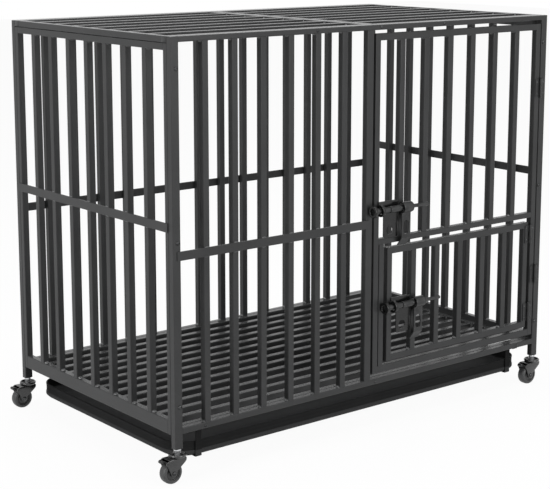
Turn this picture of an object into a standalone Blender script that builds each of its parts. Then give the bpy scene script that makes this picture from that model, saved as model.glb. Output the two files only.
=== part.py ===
"""Heavy dog crate on casters, made of welded square steel tube.

Six barred panels bolt together at four corner posts. The right half of the front is a hinged
main door, and the lower half of that is a smaller feeding door. Each door has a slide bolt with
a hanging hasp. A waste tray hangs under the floor grate and pulls out at the left end.

Metres, +Z up. The ground is z = 0 and the front faces -Y. Places named here are measured from
the middle of the four panels, and heights from the foot of the corner posts, which stands
CASTER_HEIGHT above the ground. The last step sets the origin below the middle of the crate's
whole box, which the slide bolts and the trailing casters move a little from the panels' middle.
"""
import math

import bmesh
import bpy
from mathutils import Matrix, Vector

# The crate as a whole
LENGTH = 1.168
DEPTH = 0.678
BODY_HEIGHT = 0.900
CASTER_HEIGHT = 0.075
TUBE = 0.016
POST_WIDTH = 0.020
FIT = 0.0004
THROUGH = 1.5
HALF_LENGTH = LENGTH / 2
HALF_DEPTH = DEPTH / 2
FRONT = -HALF_DEPTH
POST_INNER = HALF_LENGTH - POST_WIDTH
FRAME_INNER = HALF_DEPTH - TUBE

# Front and back frames
TOP_RAIL = 0.012
BOTTOM_RAIL_LOW = 0.033
BOTTOM_RAIL_HIGH = 0.047
TOP_RAIL_LOW = BODY_HEIGHT - TOP_RAIL
JAMB_LEFT = -0.033
JAMB_RIGHT = -0.013
FRONT_BARS = 6
BACK_BARS = 14

# Flat strips welded across the outside of the bars
STRIP_WIDTH = 0.020
STRIP_THICK = 0.003
STRIP_SINK = 0.001
FRONT_STRIP_LOW = 0.4215
BACK_STRIP_LOW = 0.4250
SIDE_STRIP_LOW = 0.4820
STRIP_END_INSET = 0.010
STRIP_ON_JAMB = 0.008
SIDE_STRIP_INSET = 0.001

# Side panels
SIDE_HALF_DEPTH = FRAME_INNER - FIT
SIDE_STILE = 0.013
SIDE_RAIL_LOW = (0.030, 0.062)
SIDE_RAIL_HIGH = (0.870, 0.885)
SIDE_BARS = 7
SIDE_PITCH = 0.079

# Roof and floor
ROOF_THICK = 0.014
ROOF_RAIL = 0.020
ROOF_BARS = 7
ROOF_PITCH = 0.0782
ROOF_SEAM = 0.0016
FLOOR_THICK = 0.014
FLOOR_BARS = 12
FLOOR_BAR = 0.017

# Main door and feeding door
DOOR_LEFT = -0.007
DOOR_RIGHT = 0.561
DOOR_LOW = 0.060
DOOR_HIGH = 0.879
DOOR_BARS = 6
MID_RAIL = (0.377, 0.391)
DOOR_BOTTOM_RAIL = 0.017
SECOND_STILE_LEFT = 0.011
FEED_LEFT = 0.038
FEED_RIGHT = 0.535
FEED_LOW = 0.084
FEED_HIGH = 0.366
FEED_BARS = 5

# Hinges
HINGE_Y = FRONT - 0.004
MAIN_HINGE_X = 0.5625
FEED_HINGE_X = 0.540
HINGE_HEIGHT = 0.048
KNUCKLE_RADIUS = 0.0037
KNUCKLE_BORE = 0.0020
PIN_RADIUS = 0.0017
PIN_HEAD = 0.0029
LEAF_REACH = 0.017
LEAF_NEAR = 0.0019
LEAF_THICK = 0.0015
KNUCKLE_GAP = 0.0004
LEAF_EASE = 0.0003
PIN_HEAD_HEIGHT = 0.0012
MAIN_HINGE_HEIGHTS = {"upper": 0.715, "lower": 0.225}
FEED_HINGE_HEIGHTS = {"upper": 0.3345, "lower": 0.126}

# Slide bolts, along X; distances along the bolt are counted from the middle of its guide ring
BOLT_Y = FRONT - 0.0150
BOLT_RADIUS = 0.007
BOLT_NECK = 0.0045
BOLT_TAIL = 0.0045
RING_OUTER = 0.0146
RING_BORE = 0.0083
RING_FOOT = 0.014
RING_WIDTH = 0.008
TIP_TO_KEEPER = 0.005
NECK_SPAN = (0.0264, 0.0578)
BODY_END = 0.104
TAIL_END = 0.156
BACK_PLATE = ((0.0, 0.0657), (0.0116, 0.0146), (0.002, 0.019))
HASP_SPAN = (0.0155, 0.062)
HASP_NEAR = 0.0074
HASP_THICK = 0.003
HASP_TOP = 0.002
HASP_DROP = 0.070
HASP_CORNER = 0.006
HASP_HOLE = (0.035, -0.051)
HASP_HOLE_RADIUS = 0.0105
SLEEVE_WALL = 0.0012
STRAP_SPAN = (0.066, 0.094)
STRAP_THICK = 0.003
STRAP_BORE = 0.0104
STRAP_TURN = 240
STRAP_LEG = (-0.0025, 0.0005)
STRAP_LEG_TOP = 0.0145
STRAP_KNEE = 0.074
STRAP_DROP = 0.095
STRAP_BACK_LEG = 0.022
SLOT_DROP = 0.047
SLOT_HALF_WIDTH = 0.0085
SLOT_HALF_HEIGHT = 0.017
FLANGE_RADIUS = 0.0126
FLANGE_BORE = 0.0076
FLANGE_WIDTH = 0.005
BOLTS = {
    "upper": {"height": 0.463, "guide": 0.001, "keeper": -0.023},
    "lower": {"height": 0.223, "guide": 0.046, "keeper": 0.019},
}

# Waste tray and the straps that carry it
TRAY_HALF_LENGTH = 0.560
TRAY_HALF_DEPTH = 0.308
TRAY_LOW = -0.038
TRAY_HIGH = -0.004
TRAY_CORNER = 0.060
TRAY_SHEET = 0.002
TRAY_BAND = 0.012
TRAY_STEP = 0.0025
TRAY_FOOT = 0.005
HANGER_X = 0.502
HANGER_WIDTH = 0.016
HANGER_THICK = 0.002
HANGER_LIP = 0.025

# Casters
CASTER_X = 0.574
CASTER_Y = 0.331
WHEEL_RADIUS = 0.025
WHEEL_WIDTH = 0.022
WHEEL_SIDES = 24
WHEEL_HUB = 0.007
WHEEL_HUB_WIDTH = 0.0238
WHEEL_TRAIL = 0.018
AXLE_RADIUS = 0.003
FORK_INNER = 0.0123
FORK_SHEET = 0.0025
FORK_TOP = 0.0575
CUP_RADIUS = 0.0205
CUP_TOP = 0.0650
PEDAL_PIVOT = (-0.034, 0.051)
PEDAL_WIDTH = 0.012
PEDAL_PIN = 0.0025
SHANK_RADIUS = 0.0039
CORNERS = {
    "front_left": (-1, -1),
    "front_right": (1, -1),
    "back_left": (-1, 1),
    "back_right": (1, 1),
}

# Corner bolts that hold the side panels to the posts
CORNER_BOLT_X = HALF_LENGTH - 0.013
CORNER_BOLT_HEIGHT = 0.832
CORNER_BOLT_RADIUS = 0.003
CORNER_BOLT_HEAD = 0.005

# The middle of the whole box, bolts and brake pedals included
BOX_MIDDLE = (-0.0136, -0.00865)

FINISHES = {
    "powder_coat": ((0.052, 0.053, 0.055, 1.0), 0.46, 0.55),
    "black_steel": ((0.030, 0.030, 0.031, 1.0), 0.34, 0.80),
    "bright_zinc": ((0.720, 0.720, 0.700, 1.0), 0.30, 1.00),
    "dull_zinc": ((0.330, 0.330, 0.330, 1.0), 0.38, 1.00),
    "tray_steel": ((0.026, 0.026, 0.027, 1.0), 0.52, 0.40),
    "grey_tyre": ((0.085, 0.085, 0.087, 1.0), 0.62, 0.00),
    "black_plastic": ((0.012, 0.012, 0.013, 1.0), 0.40, 0.00),
}
WELD_DISTANCE = 0.00001
UPRIGHT = (math.pi / 2, 0.0, 0.0)
ENDWISE = (math.pi / 2, 0.0, math.pi / 2)
LEVEL = (0.0, 0.0, 0.0)


def clear_scene():
    """Removes whatever the scene starts with."""
    for obj in list(bpy.data.objects):
        bpy.data.objects.remove(obj)


def new_collection(name):
    """Returns a collection linked to the scene."""
    collection = bpy.data.collections.new(name)
    bpy.context.scene.collection.children.link(collection)
    return collection


def paint(obj, finish):
    """Gives a piece its own Principled material."""
    color, roughness, metallic = FINISHES[finish]
    material = bpy.data.materials.new(obj.name + "_finish")
    material.use_nodes = True
    shader = material.node_tree.nodes["Principled BSDF"]
    shader.inputs["Base Color"].default_value = color
    shader.inputs["Roughness"].default_value = roughness
    shader.inputs["Metallic"].default_value = metallic
    obj.data.materials.clear()
    obj.data.materials.append(material)
    obj.active_material = material


def smooth(obj):
    """Shades a round piece smooth, with its real edges kept sharp."""
    obj.data.shade_smooth()
    obj.data.set_sharp_from_angle(angle=math.radians(35))


def to_mesh(obj):
    """Replaces an object by the mesh of its evaluated shape, with its caps welded on."""
    bpy.context.view_layer.update()
    evaluated = obj.evaluated_get(bpy.context.evaluated_depsgraph_get())
    mesh = bpy.data.meshes.new_from_object(evaluated)
    bm = bmesh.new()
    bm.from_mesh(mesh)
    bmesh.ops.remove_doubles(bm, verts=bm.verts, dist=WELD_DISTANCE)
    bm.to_mesh(mesh)
    bm.free()
    name = obj.name
    home = obj.users_collection[0]
    place = obj.matrix_world.copy()
    guides = [m.object for m in obj.modifiers if m.type == "BOOLEAN"]
    bpy.data.objects.remove(obj)
    for guide in guides:
        bpy.data.objects.remove(guide)
    solid = bpy.data.objects.new(name, mesh)
    solid.matrix_world = place
    home.objects.link(solid)
    return solid


def move_origin(obj, point):
    """Puts a piece's origin at a point of the crate, without moving its shape."""
    bpy.context.view_layer.update()
    offset = obj.matrix_world.inverted() @ Vector(point)
    obj.data.transform(Matrix.Translation(-offset))
    obj.location = point


def rectangle(low_x, high_x, low_y, high_y):
    """The four corners of a rectangle."""
    return [(low_x, low_y), (high_x, low_y), (high_x, high_y), (low_x, high_y)]


def arc(centre, radius, start, end, steps):
    """Points along an arc, angles in degrees."""
    points = []
    for step in range(steps + 1):
        angle = math.radians(start + (end - start) * step / steps)
        points.append((centre[0] + radius * math.cos(angle), centre[1] + radius * math.sin(angle)))
    return points


def circle(centre, radius, sides):
    """Points round a circle."""
    return arc(centre, radius, 0, 360, sides)[:-1]


def flat_outline(name, loops, thickness, location=(0.0, 0.0, 0.0), turn=LEVEL):
    """A flat plate or grille as thick as stated, filled between its closed outlines."""
    curve = bpy.data.curves.new(name, "CURVE")
    curve.dimensions = "2D"
    curve.fill_mode = "BOTH"
    curve.extrude = thickness / 2
    for loop in loops:
        spline = curve.splines.new("POLY")
        spline.points.add(len(loop) - 1)
        for point, (x, y) in zip(spline.points, loop):
            point.co = (x, y, 0.0, 1.0)
        spline.use_cyclic_u = True
    obj = bpy.data.objects.new(name, curve)
    obj.location = location
    obj.rotation_euler = turn
    PIECES.objects.link(obj)
    plate = to_mesh(obj)
    even_out_caps(plate.data)
    return plate


def even_out_caps(mesh):
    """Turns the diagonals of a plate's two flat faces, so that no sliver lies along a bar's end."""
    bm = bmesh.new()
    bm.from_mesh(mesh)
    diagonals = []
    for edge in bm.edges:
        height = edge.verts[0].co.z
        corners = [vert for face in edge.link_faces for vert in face.verts]
        if all(abs(vert.co.z - height) < WELD_DISTANCE for vert in corners):
            diagonals.append(edge)
    bmesh.ops.beautify_fill(bm, faces=bm.faces, edges=diagonals)
    bm.to_mesh(mesh)
    bm.free()


def tool(name, bm, location=(0.0, 0.0, 0.0)):
    """A guide shape that is cut from a piece or joined to it."""
    mesh = bpy.data.meshes.new(name)
    bm.to_mesh(mesh)
    bm.free()
    obj = bpy.data.objects.new(name, mesh)
    obj.location = location
    obj.hide_render = True
    obj.display_type = "WIRE"
    TOOLS.objects.link(obj)
    return obj


def box_tool(low, high):
    """A box between two corners."""
    middle = [(a + b) / 2 for a, b in zip(low, high)]
    size = [b - a for a, b in zip(low, high)]
    bm = bmesh.new()
    bmesh.ops.create_cube(bm, size=1.0, matrix=Matrix.Diagonal((*size, 1.0)))
    return tool("box_tool", bm, middle)


def round_tool(axis, centre, radius, length, sides=12):
    """A cylinder along X, Y or Z about a centre."""
    turns = {
        "X": Matrix.Rotation(math.pi / 2, 4, "Y"),
        "Y": Matrix.Rotation(math.pi / 2, 4, "X"),
        "Z": Matrix.Identity(4),
    }
    bm = bmesh.new()
    bmesh.ops.create_cone(
        bm,
        cap_ends=True,
        segments=sides,
        radius1=radius,
        radius2=radius,
        depth=length,
        matrix=turns[axis],
    )
    return tool("round_tool", bm, centre)


def combine(obj, operation, *others):
    """Joins guide shapes to a piece (UNION) or cuts them from it (DIFFERENCE)."""
    for other in others:
        modifier = obj.modifiers.new(operation.lower(), "BOOLEAN")
        modifier.operation = operation
        modifier.object = other
    return to_mesh(obj)


def turned(name, profile, sides, location=(0.0, 0.0, 0.0), turn=LEVEL):
    """A turned piece. The profile holds (radius, height) points down its outer side."""
    bm = bmesh.new()
    rings = [bm.verts.new((radius, 0.0, height)) for radius, height in profile]
    for upper, lower in zip(rings, rings[1:]):
        bm.edges.new((upper, lower))
    mesh = bpy.data.meshes.new(name)
    bm.to_mesh(mesh)
    bm.free()
    obj = bpy.data.objects.new(name, mesh)
    obj.location = location
    obj.rotation_euler = turn
    PIECES.objects.link(obj)
    screw = obj.modifiers.new("turn", "SCREW")
    screw.steps = sides
    screw.render_steps = sides
    screw.use_merge_vertices = True
    screw.merge_threshold = WELD_DISTANCE
    return to_mesh(obj)


def copy_of(source, name, location):
    """Another piece of the same shape, with its own object and its own material slot."""
    obj = bpy.data.objects.new(name, source.data.copy())
    obj.location = location
    obj.rotation_euler = source.rotation_euler
    PIECES.objects.link(obj)
    return obj


def gaps_between(low, high, centres, width):
    """The open stretches that bars of one width leave between two edges."""
    edges = [low]
    for centre in centres:
        edges += [centre - width / 2, centre + width / 2]
    edges.append(high)
    return list(zip(edges[::2], edges[1::2]))


def even_centres(low, high, count):
    """Centres that divide the stretch between two centre lines evenly."""
    return [low + (high - low) * (i + 1) / (count + 1) for i in range(count)]


def pitched_centres(count, pitch):
    """Centres at a steady pitch, symmetric about zero."""
    return [(i - (count - 1) / 2) * pitch for i in range(count)]


def frame_outline():
    """Two corner posts that stand on their feet, joined by a top and a bottom rail."""
    return [
        (-HALF_LENGTH, 0.0),
        (-POST_INNER, 0.0),
        (-POST_INNER, BOTTOM_RAIL_LOW),
        (POST_INNER, BOTTOM_RAIL_LOW),
        (POST_INNER, 0.0),
        (HALF_LENGTH, 0.0),
        (HALF_LENGTH, BODY_HEIGHT),
        (-HALF_LENGTH, BODY_HEIGHT),
    ]


def frame_holes(low_x, high_x, centres):
    """The openings between upright bars, from bottom rail to top rail."""
    return [
        rectangle(a, b, BOTTOM_RAIL_HIGH, TOP_RAIL_LOW)
        for a, b in gaps_between(low_x, high_x, centres, TUBE)
    ]


def corner_bolt_holes(frame, side_y):
    """Clearance holes for the upper corner bolts through a frame's two posts."""
    y = side_y * (HALF_DEPTH - TUBE / 2)
    height = CASTER_HEIGHT + CORNER_BOLT_HEIGHT
    radius = CORNER_BOLT_RADIUS + FIT
    holes = [
        round_tool("Y", (side * CORNER_BOLT_X, y, height), radius, THROUGH * TUBE)
        for side in (-1, 1)
    ]
    return combine(frame, "DIFFERENCE", *holes)


def front_frame():
    """The front: barred on the left, with the main door's opening on the right of the jamb."""
    jamb_middle = (JAMB_LEFT + JAMB_RIGHT) / 2
    post_middle = HALF_LENGTH - POST_WIDTH / 2
    centres = even_centres(-post_middle, jamb_middle, FRONT_BARS)
    loops = [frame_outline()]
    loops += frame_holes(-POST_INNER, JAMB_LEFT, centres)
    loops.append(rectangle(JAMB_RIGHT, POST_INNER, BOTTOM_RAIL_HIGH, TOP_RAIL_LOW))
    middle_y = FRONT + TUBE / 2
    frame = flat_outline("front_frame", loops, TUBE, (0.0, middle_y, CASTER_HEIGHT), UPRIGHT)
    low = CASTER_HEIGHT + FRONT_STRIP_LOW
    strip = box_tool(
        (-HALF_LENGTH + STRIP_END_INSET, FRONT - STRIP_THICK, low),
        (JAMB_LEFT + STRIP_ON_JAMB, FRONT + STRIP_SINK, low + STRIP_WIDTH),
    )
    frame = combine(frame, "UNION", strip)
    paint(corner_bolt_holes(frame, -1), "powder_coat")


def back_frame():
    """The back: barred all the way."""
    post_middle = HALF_LENGTH - POST_WIDTH / 2
    centres = even_centres(-post_middle, post_middle, BACK_BARS)
    loops = [frame_outline()] + frame_holes(-POST_INNER, POST_INNER, centres)
    middle_y = HALF_DEPTH - TUBE / 2
    frame = flat_outline("back_frame", loops, TUBE, (0.0, middle_y, CASTER_HEIGHT), UPRIGHT)
    low = CASTER_HEIGHT + BACK_STRIP_LOW
    strip = box_tool(
        (-HALF_LENGTH + STRIP_END_INSET, HALF_DEPTH - STRIP_SINK, low),
        (HALF_LENGTH - STRIP_END_INSET, HALF_DEPTH + STRIP_THICK, low + STRIP_WIDTH),
    )
    frame = combine(frame, "UNION", strip)
    paint(corner_bolt_holes(frame, 1), "powder_coat")


def side_panel(name, side):
    """A barred end panel between the posts; side is -1 on the left and 1 on the right."""
    inner = SIDE_HALF_DEPTH - SIDE_STILE
    centres = pitched_centres(SIDE_BARS, SIDE_PITCH)
    loops = [rectangle(-SIDE_HALF_DEPTH, SIDE_HALF_DEPTH, SIDE_RAIL_LOW[0], SIDE_RAIL_HIGH[1])]
    loops += [
        rectangle(a, b, SIDE_RAIL_LOW[1], SIDE_RAIL_HIGH[0])
        for a, b in gaps_between(-inner, inner, centres, TUBE)
    ]
    middle_x = side * (HALF_LENGTH - TUBE / 2)
    panel = flat_outline(name, loops, TUBE, (middle_x, 0.0, CASTER_HEIGHT), ENDWISE)
    low = CASTER_HEIGHT + SIDE_STRIP_LOW
    faces = sorted((side * (HALF_LENGTH - STRIP_SINK), side * (HALF_LENGTH + STRIP_THICK)))
    reach = SIDE_HALF_DEPTH - SIDE_STRIP_INSET
    strip = box_tool((faces[0], -reach, low), (faces[1], reach, low + STRIP_WIDTH))
    panel = combine(panel, "UNION", strip)
    y = SIDE_HALF_DEPTH - SIDE_STILE / 2
    height = CASTER_HEIGHT + CORNER_BOLT_HEIGHT
    radius = CORNER_BOLT_RADIUS + FIT
    holes = [
        round_tool("Y", (side * CORNER_BOLT_X, end * y, height), radius, THROUGH * SIDE_STILE)
        for end in (-1, 1)
    ]
    paint(combine(panel, "DIFFERENCE", *holes), "powder_coat")


def roof_panel(name, side):
    """Half of the roof: lengthwise bars in a frame that rests over the side panel."""
    outer, seam = side * HALF_LENGTH, side * ROOF_SEAM / 2
    low_x, high_x = sorted((outer, seam))
    inner = SIDE_HALF_DEPTH - ROOF_RAIL
    loops = [rectangle(low_x, high_x, -SIDE_HALF_DEPTH, SIDE_HALF_DEPTH)]
    loops += [
        rectangle(low_x + TUBE, high_x - TUBE, a, b)
        for a, b in gaps_between(-inner, inner, pitched_centres(ROOF_BARS, ROOF_PITCH), TUBE)
    ]
    height = CASTER_HEIGHT + BODY_HEIGHT - ROOF_THICK / 2
    paint(flat_outline(name, loops, ROOF_THICK, (0.0, 0.0, height)), "powder_coat")


def floor_grate():
    """The floor: lengthwise bars in a frame, level with the bottom rails."""
    half_x = HALF_LENGTH - TUBE - FIT
    inner = SIDE_HALF_DEPTH - TUBE
    spare = 2 * inner - FLOOR_BARS * FLOOR_BAR
    pitch = FLOOR_BAR + spare / (FLOOR_BARS + 1)
    loops = [rectangle(-half_x, half_x, -SIDE_HALF_DEPTH, SIDE_HALF_DEPTH)]
    loops += [
        rectangle(-half_x + TUBE, half_x - TUBE, a, b)
        for a, b in gaps_between(-inner, inner, pitched_centres(FLOOR_BARS, pitch), FLOOR_BAR)
    ]
    height = CASTER_HEIGHT + BOTTOM_RAIL_HIGH - FLOOR_THICK / 2
    paint(flat_outline("floor_grate", loops, FLOOR_THICK, (0.0, 0.0, height)), "powder_coat")


def door_plate(name, loops, hinge_x):
    """A door flush with the front frame, with its origin on its hinge line."""
    middle_y = FRONT + TUBE / 2
    door = flat_outline(name, loops, TUBE, (0.0, middle_y, CASTER_HEIGHT), UPRIGHT)
    move_origin(door, (hinge_x, HINGE_Y, CASTER_HEIGHT))
    paint(door, "powder_coat")


def main_door():
    """Bars above, and below them an opening for the feeding door beside a doubled stile."""
    left, right = DOOR_LEFT + TUBE, DOOR_RIGHT - TUBE
    centres = even_centres(DOOR_LEFT + TUBE / 2, DOOR_RIGHT - TUBE / 2, DOOR_BARS)
    loops = [rectangle(DOOR_LEFT, DOOR_RIGHT, DOOR_LOW, DOOR_HIGH)]
    loops += [
        rectangle(a, b, MID_RAIL[1], DOOR_HIGH - TUBE)
        for a, b in gaps_between(left, right, centres, TUBE)
    ]
    low = DOOR_LOW + DOOR_BOTTOM_RAIL
    loops.append(rectangle(left, SECOND_STILE_LEFT, low, MID_RAIL[0]))
    loops.append(rectangle(SECOND_STILE_LEFT + TUBE, right, low, MID_RAIL[0]))
    door_plate("main_door", loops, MAIN_HINGE_X)


def feed_door():
    """The small barred door in the main door's lower opening."""
    left, right = FEED_LEFT + TUBE, FEED_RIGHT - TUBE
    centres = even_centres(FEED_LEFT + TUBE / 2, FEED_RIGHT - TUBE / 2, FEED_BARS)
    loops = [rectangle(FEED_LEFT, FEED_RIGHT, FEED_LOW, FEED_HIGH)]
    loops += [
        rectangle(a, b, FEED_LOW + TUBE, FEED_HIGH - TUBE)
        for a, b in gaps_between(left, right, centres, TUBE)
    ]
    door_plate("feed_door", loops, FEED_HINGE_X)


def hinge_leaf(name, side, outer_knuckles):
    """One leaf of a butt hinge about its own origin, reaching to side -1 or 1 along X."""
    half = HINGE_HEIGHT / 2
    third = HINGE_HEIGHT / 6
    notch = side * (KNUCKLE_RADIUS + FIT)
    ease = LEAF_EASE
    if outer_knuckles:
        spans = [(third, half), (-half, -third)]
        outline = [
            (0.0, -half + ease),
            (side * LEAF_REACH, -half + ease),
            (side * LEAF_REACH, half - ease),
            (0.0, half - ease),
            (0.0, third + ease),
            (notch, third + ease),
            (notch, -third - ease),
            (0.0, -third - ease),
        ]
    else:
        spans = [(-third + KNUCKLE_GAP, third - KNUCKLE_GAP)]
        tongue = third - KNUCKLE_GAP - ease
        outline = [
            (notch, -half + ease),
            (side * LEAF_REACH, -half + ease),
            (side * LEAF_REACH, half - ease),
            (notch, half - ease),
            (notch, tongue),
            (0.0, tongue),
            (0.0, -tongue),
            (notch, -tongue),
        ]
    middle = (0.0, LEAF_NEAR + LEAF_THICK / 2, 0.0)
    leaf = flat_outline(name, [outline], LEAF_THICK, middle, UPRIGHT)
    knuckles = [
        round_tool("Z", (0.0, 0.0, (low + high) / 2), KNUCKLE_RADIUS, high - low)
        for low, high in spans
    ]
    leaf = combine(leaf, "UNION", *knuckles)
    bore = round_tool("Z", (0.0, 0.0, 0.0), KNUCKLE_BORE, THROUGH * HINGE_HEIGHT)
    leaf = combine(leaf, "DIFFERENCE", bore)
    move_origin(leaf, (0.0, 0.0, 0.0))
    smooth(leaf)
    return leaf


def hinge_pin(name):
    """A hinge pin with a low head at each end."""
    seat = HINGE_HEIGHT / 2 + FIT
    head = PIN_HEAD_HEIGHT
    profile = [
        (0.0, seat + head),
        (0.6 * PIN_HEAD, seat + head),
        (PIN_HEAD, seat + head / 2),
        (PIN_HEAD, seat),
        (PIN_RADIUS, seat),
        (PIN_RADIUS, -seat),
        (PIN_HEAD, -seat),
        (PIN_HEAD, -seat - head / 2),
        (0.6 * PIN_HEAD, -seat - head),
        (0.0, -seat - head),
    ]
    pin = turned(name, profile, 8)
    smooth(pin)
    return pin


def hinges():
    """Two butt hinges on each door: a fixed leaf, a door leaf and a pin."""
    fixed = hinge_leaf("fixed_leaf", 1, True)
    moving = hinge_leaf("moving_leaf", -1, False)
    pin = hinge_pin("pin")
    doors = {
        "main": (MAIN_HINGE_X, MAIN_HINGE_HEIGHTS),
        "feed": (FEED_HINGE_X, FEED_HINGE_HEIGHTS),
    }
    for door, (x, heights) in doors.items():
        for level, height in heights.items():
            place = (x, HINGE_Y, CASTER_HEIGHT + height)
            label = f"{door}_{level}_hinge"
            paint(copy_of(fixed, label + "_fixed_leaf", place), "black_steel")
            paint(copy_of(moving, label + "_door_leaf", place), "black_steel")
            paint(copy_of(pin, label + "_pin", place), "dull_zinc")
    for pattern in (fixed, moving, pin):
        bpy.data.objects.remove(pattern)


def ring_about(name, middle, bore, outer, width, sides):
    """A turned ring whose axis lies along X."""
    half = width / 2
    profile = [(bore, half), (outer, half), (outer, -half), (bore, -half), (bore, half)]
    return turned(name, profile, sides, middle, (0.0, math.pi / 2, 0.0))


def bolt_ring(name, x, height):
    """A ring welded on a short foot, through which a slide bolt runs."""
    centre = (x, BOLT_Y, CASTER_HEIGHT + height)
    half = RING_WIDTH / 2
    ring = ring_about(name, centre, RING_BORE, RING_OUTER, RING_WIDTH, 20)
    foot = box_tool(
        (x - half + 0.001, BOLT_Y + RING_BORE + 0.001, centre[2] - RING_FOOT / 2),
        (x + half - 0.001, FRONT - FIT / 2, centre[2] + RING_FOOT / 2),
    )
    return combine(ring, "UNION", foot)


def bolt_keeper(name, x, height):
    """The ring that the bolt slides into."""
    ring = bolt_ring(name, x, height)
    smooth(ring)
    paint(ring, "black_steel")


def bolt_guide(name, x, height):
    """The ring that the bolt hangs in, with a plate behind the bolt that reaches to the strap."""
    ring = bolt_ring(name, x, height)
    corner = (x, BOLT_Y, CASTER_HEIGHT + height)
    low = tuple(place + span[0] for place, span in zip(corner, BACK_PLATE))
    high = tuple(place + span[1] for place, span in zip(corner, BACK_PLATE))
    guide = combine(ring, "UNION", box_tool(low, high))
    smooth(guide)
    paint(guide, "black_steel")


def bolt_rod(name, guide, keeper, height):
    """The sliding bolt: a thick head, a neck for the hasp, a thick body and a thin tail."""
    edge = 0.001
    neck_start, neck_end = NECK_SPAN
    tip = keeper + TIP_TO_KEEPER - guide
    profile = [
        (0.0, TAIL_END),
        (BOLT_TAIL - edge, TAIL_END),
        (BOLT_TAIL, TAIL_END - edge),
        (BOLT_TAIL, BODY_END),
        (BOLT_RADIUS - edge, BODY_END),
        (BOLT_RADIUS, BODY_END - edge),
        (BOLT_RADIUS, neck_end),
        (BOLT_NECK, neck_end),
        (BOLT_NECK, neck_start),
        (BOLT_RADIUS, neck_start),
        (BOLT_RADIUS, tip + edge),
        (BOLT_RADIUS - edge, tip),
        (0.0, tip),
    ]
    centre = (guide, BOLT_Y, CASTER_HEIGHT + height)
    rod = turned(name, profile, 16, centre, (0.0, math.pi / 2, 0.0))
    smooth(rod)
    paint(rod, "black_steel")


def bolt_hasp(name, guide, height):
    """The hasp: a flat plate behind the bolt, with a padlock hole and an eye on the neck."""
    start, end = HASP_SPAN
    corner, bottom = HASP_CORNER, -HASP_DROP
    outline = [(end, HASP_TOP), (start, HASP_TOP)]
    outline += arc((start + corner, bottom + corner), corner, 180, 270, 4)
    outline += arc((end - corner, bottom + corner), corner, 270, 360, 4)
    hole = circle(HASP_HOLE, HASP_HOLE_RADIUS, 20)
    level = CASTER_HEIGHT + height
    centre = (guide, BOLT_Y + HASP_NEAR + HASP_THICK / 2, level)
    hasp = flat_outline(name, [outline, hole], HASP_THICK, centre, UPRIGHT)
    middle = (guide + sum(NECK_SPAN) / 2, BOLT_Y, level)
    length = NECK_SPAN[1] - NECK_SPAN[0] - 2 * (FIT + LEAF_EASE)
    eye = round_tool("X", middle, BOLT_RADIUS + SLEEVE_WALL, length, 16)
    hasp = combine(hasp, "UNION", eye)
    bore = round_tool("X", middle, BOLT_NECK + FIT, THROUGH * length, 16)
    hasp = combine(hasp, "DIFFERENCE", bore)
    smooth(hasp)
    paint(hasp, "black_steel")


def strap_outline():
    """The bolt strap from its end, as (Y, Z) about the bolt's axis: a short leg on the bars
    behind the bolt, an arch over it, and a long leg below it that bends back to the door."""
    outer = STRAP_BORE + STRAP_THICK
    wall = FRONT - BOLT_Y - FIT / 2
    near, far = STRAP_LEG
    points = [(wall, -STRAP_BACK_LEG), (STRAP_BORE, -STRAP_BACK_LEG)]
    points += arc((0.0, 0.0), STRAP_BORE, 0, STRAP_TURN, 12)
    points += [(far, -STRAP_LEG_TOP + 0.001), (far, -STRAP_KNEE + 0.001)]
    points += [(wall, -STRAP_DROP + 0.004), (wall, -STRAP_DROP)]
    points += [(near, -STRAP_KNEE), (near, -STRAP_LEG_TOP)]
    points += arc((0.0, 0.0), outer, STRAP_TURN, 0, 12)
    return points


def bolt_strap(name, guide, height):
    """The flat strap bent over the bolt's body, with a long padlock hole and a round flange."""
    start, end = STRAP_SPAN
    middle_x = guide + (start + end) / 2
    centre = (middle_x, BOLT_Y, CASTER_HEIGHT + height)
    strap = flat_outline(name, [strap_outline()], end - start, centre, ENDWISE)
    leg_y = BOLT_Y + sum(STRAP_LEG) / 2
    rise = SLOT_HALF_HEIGHT - SLOT_HALF_WIDTH
    slot_z = centre[2] - SLOT_DROP
    depth = 2 * STRAP_THICK
    tools = [
        round_tool("Y", (middle_x, leg_y, slot_z + side * rise), SLOT_HALF_WIDTH, depth, 16)
        for side in (-1, 1)
    ]
    tools.append(
        box_tool(
            (middle_x - SLOT_HALF_WIDTH, leg_y - depth / 2, slot_z - rise),
            (middle_x + SLOT_HALF_WIDTH, leg_y + depth / 2, slot_z + rise),
        )
    )
    strap = combine(strap, "DIFFERENCE", *tools)
    flange_x = guide + end + 0.001
    flange_middle = (flange_x, BOLT_Y, centre[2])
    flange = ring_about(f"{name}_flange", flange_middle, FLANGE_BORE, FLANGE_RADIUS, FLANGE_WIDTH, 20)
    strap = combine(strap, "UNION", flange)
    smooth(strap)
    paint(strap, "black_steel")


def slide_bolts():
    """A slide bolt for each door."""
    for level, bolt in BOLTS.items():
        height, guide, keeper = bolt["height"], bolt["guide"], bolt["keeper"]
        bolt_keeper(f"{level}_bolt_keeper", keeper, height)
        bolt_guide(f"{level}_bolt_guide", guide, height)
        bolt_rod(f"{level}_bolt_rod", guide, keeper, height)
        bolt_hasp(f"{level}_bolt_hasp", guide, height)
        bolt_strap(f"{level}_bolt_strap", guide, height)


def tray_loop(inset):
    """The tray's plan outline, drawn in by a distance."""
    half_x, half_y = TRAY_HALF_LENGTH - inset, TRAY_HALF_DEPTH - inset
    radius = TRAY_CORNER - inset
    points = []
    for index, (sx, sy) in enumerate(((1, 1), (-1, 1), (-1, -1), (1, -1))):
        centre = (sx * (half_x - radius), sy * (half_y - radius))
        points += arc(centre, radius, 90 * index, 90 * index + 90, 6)
    return points


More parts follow.
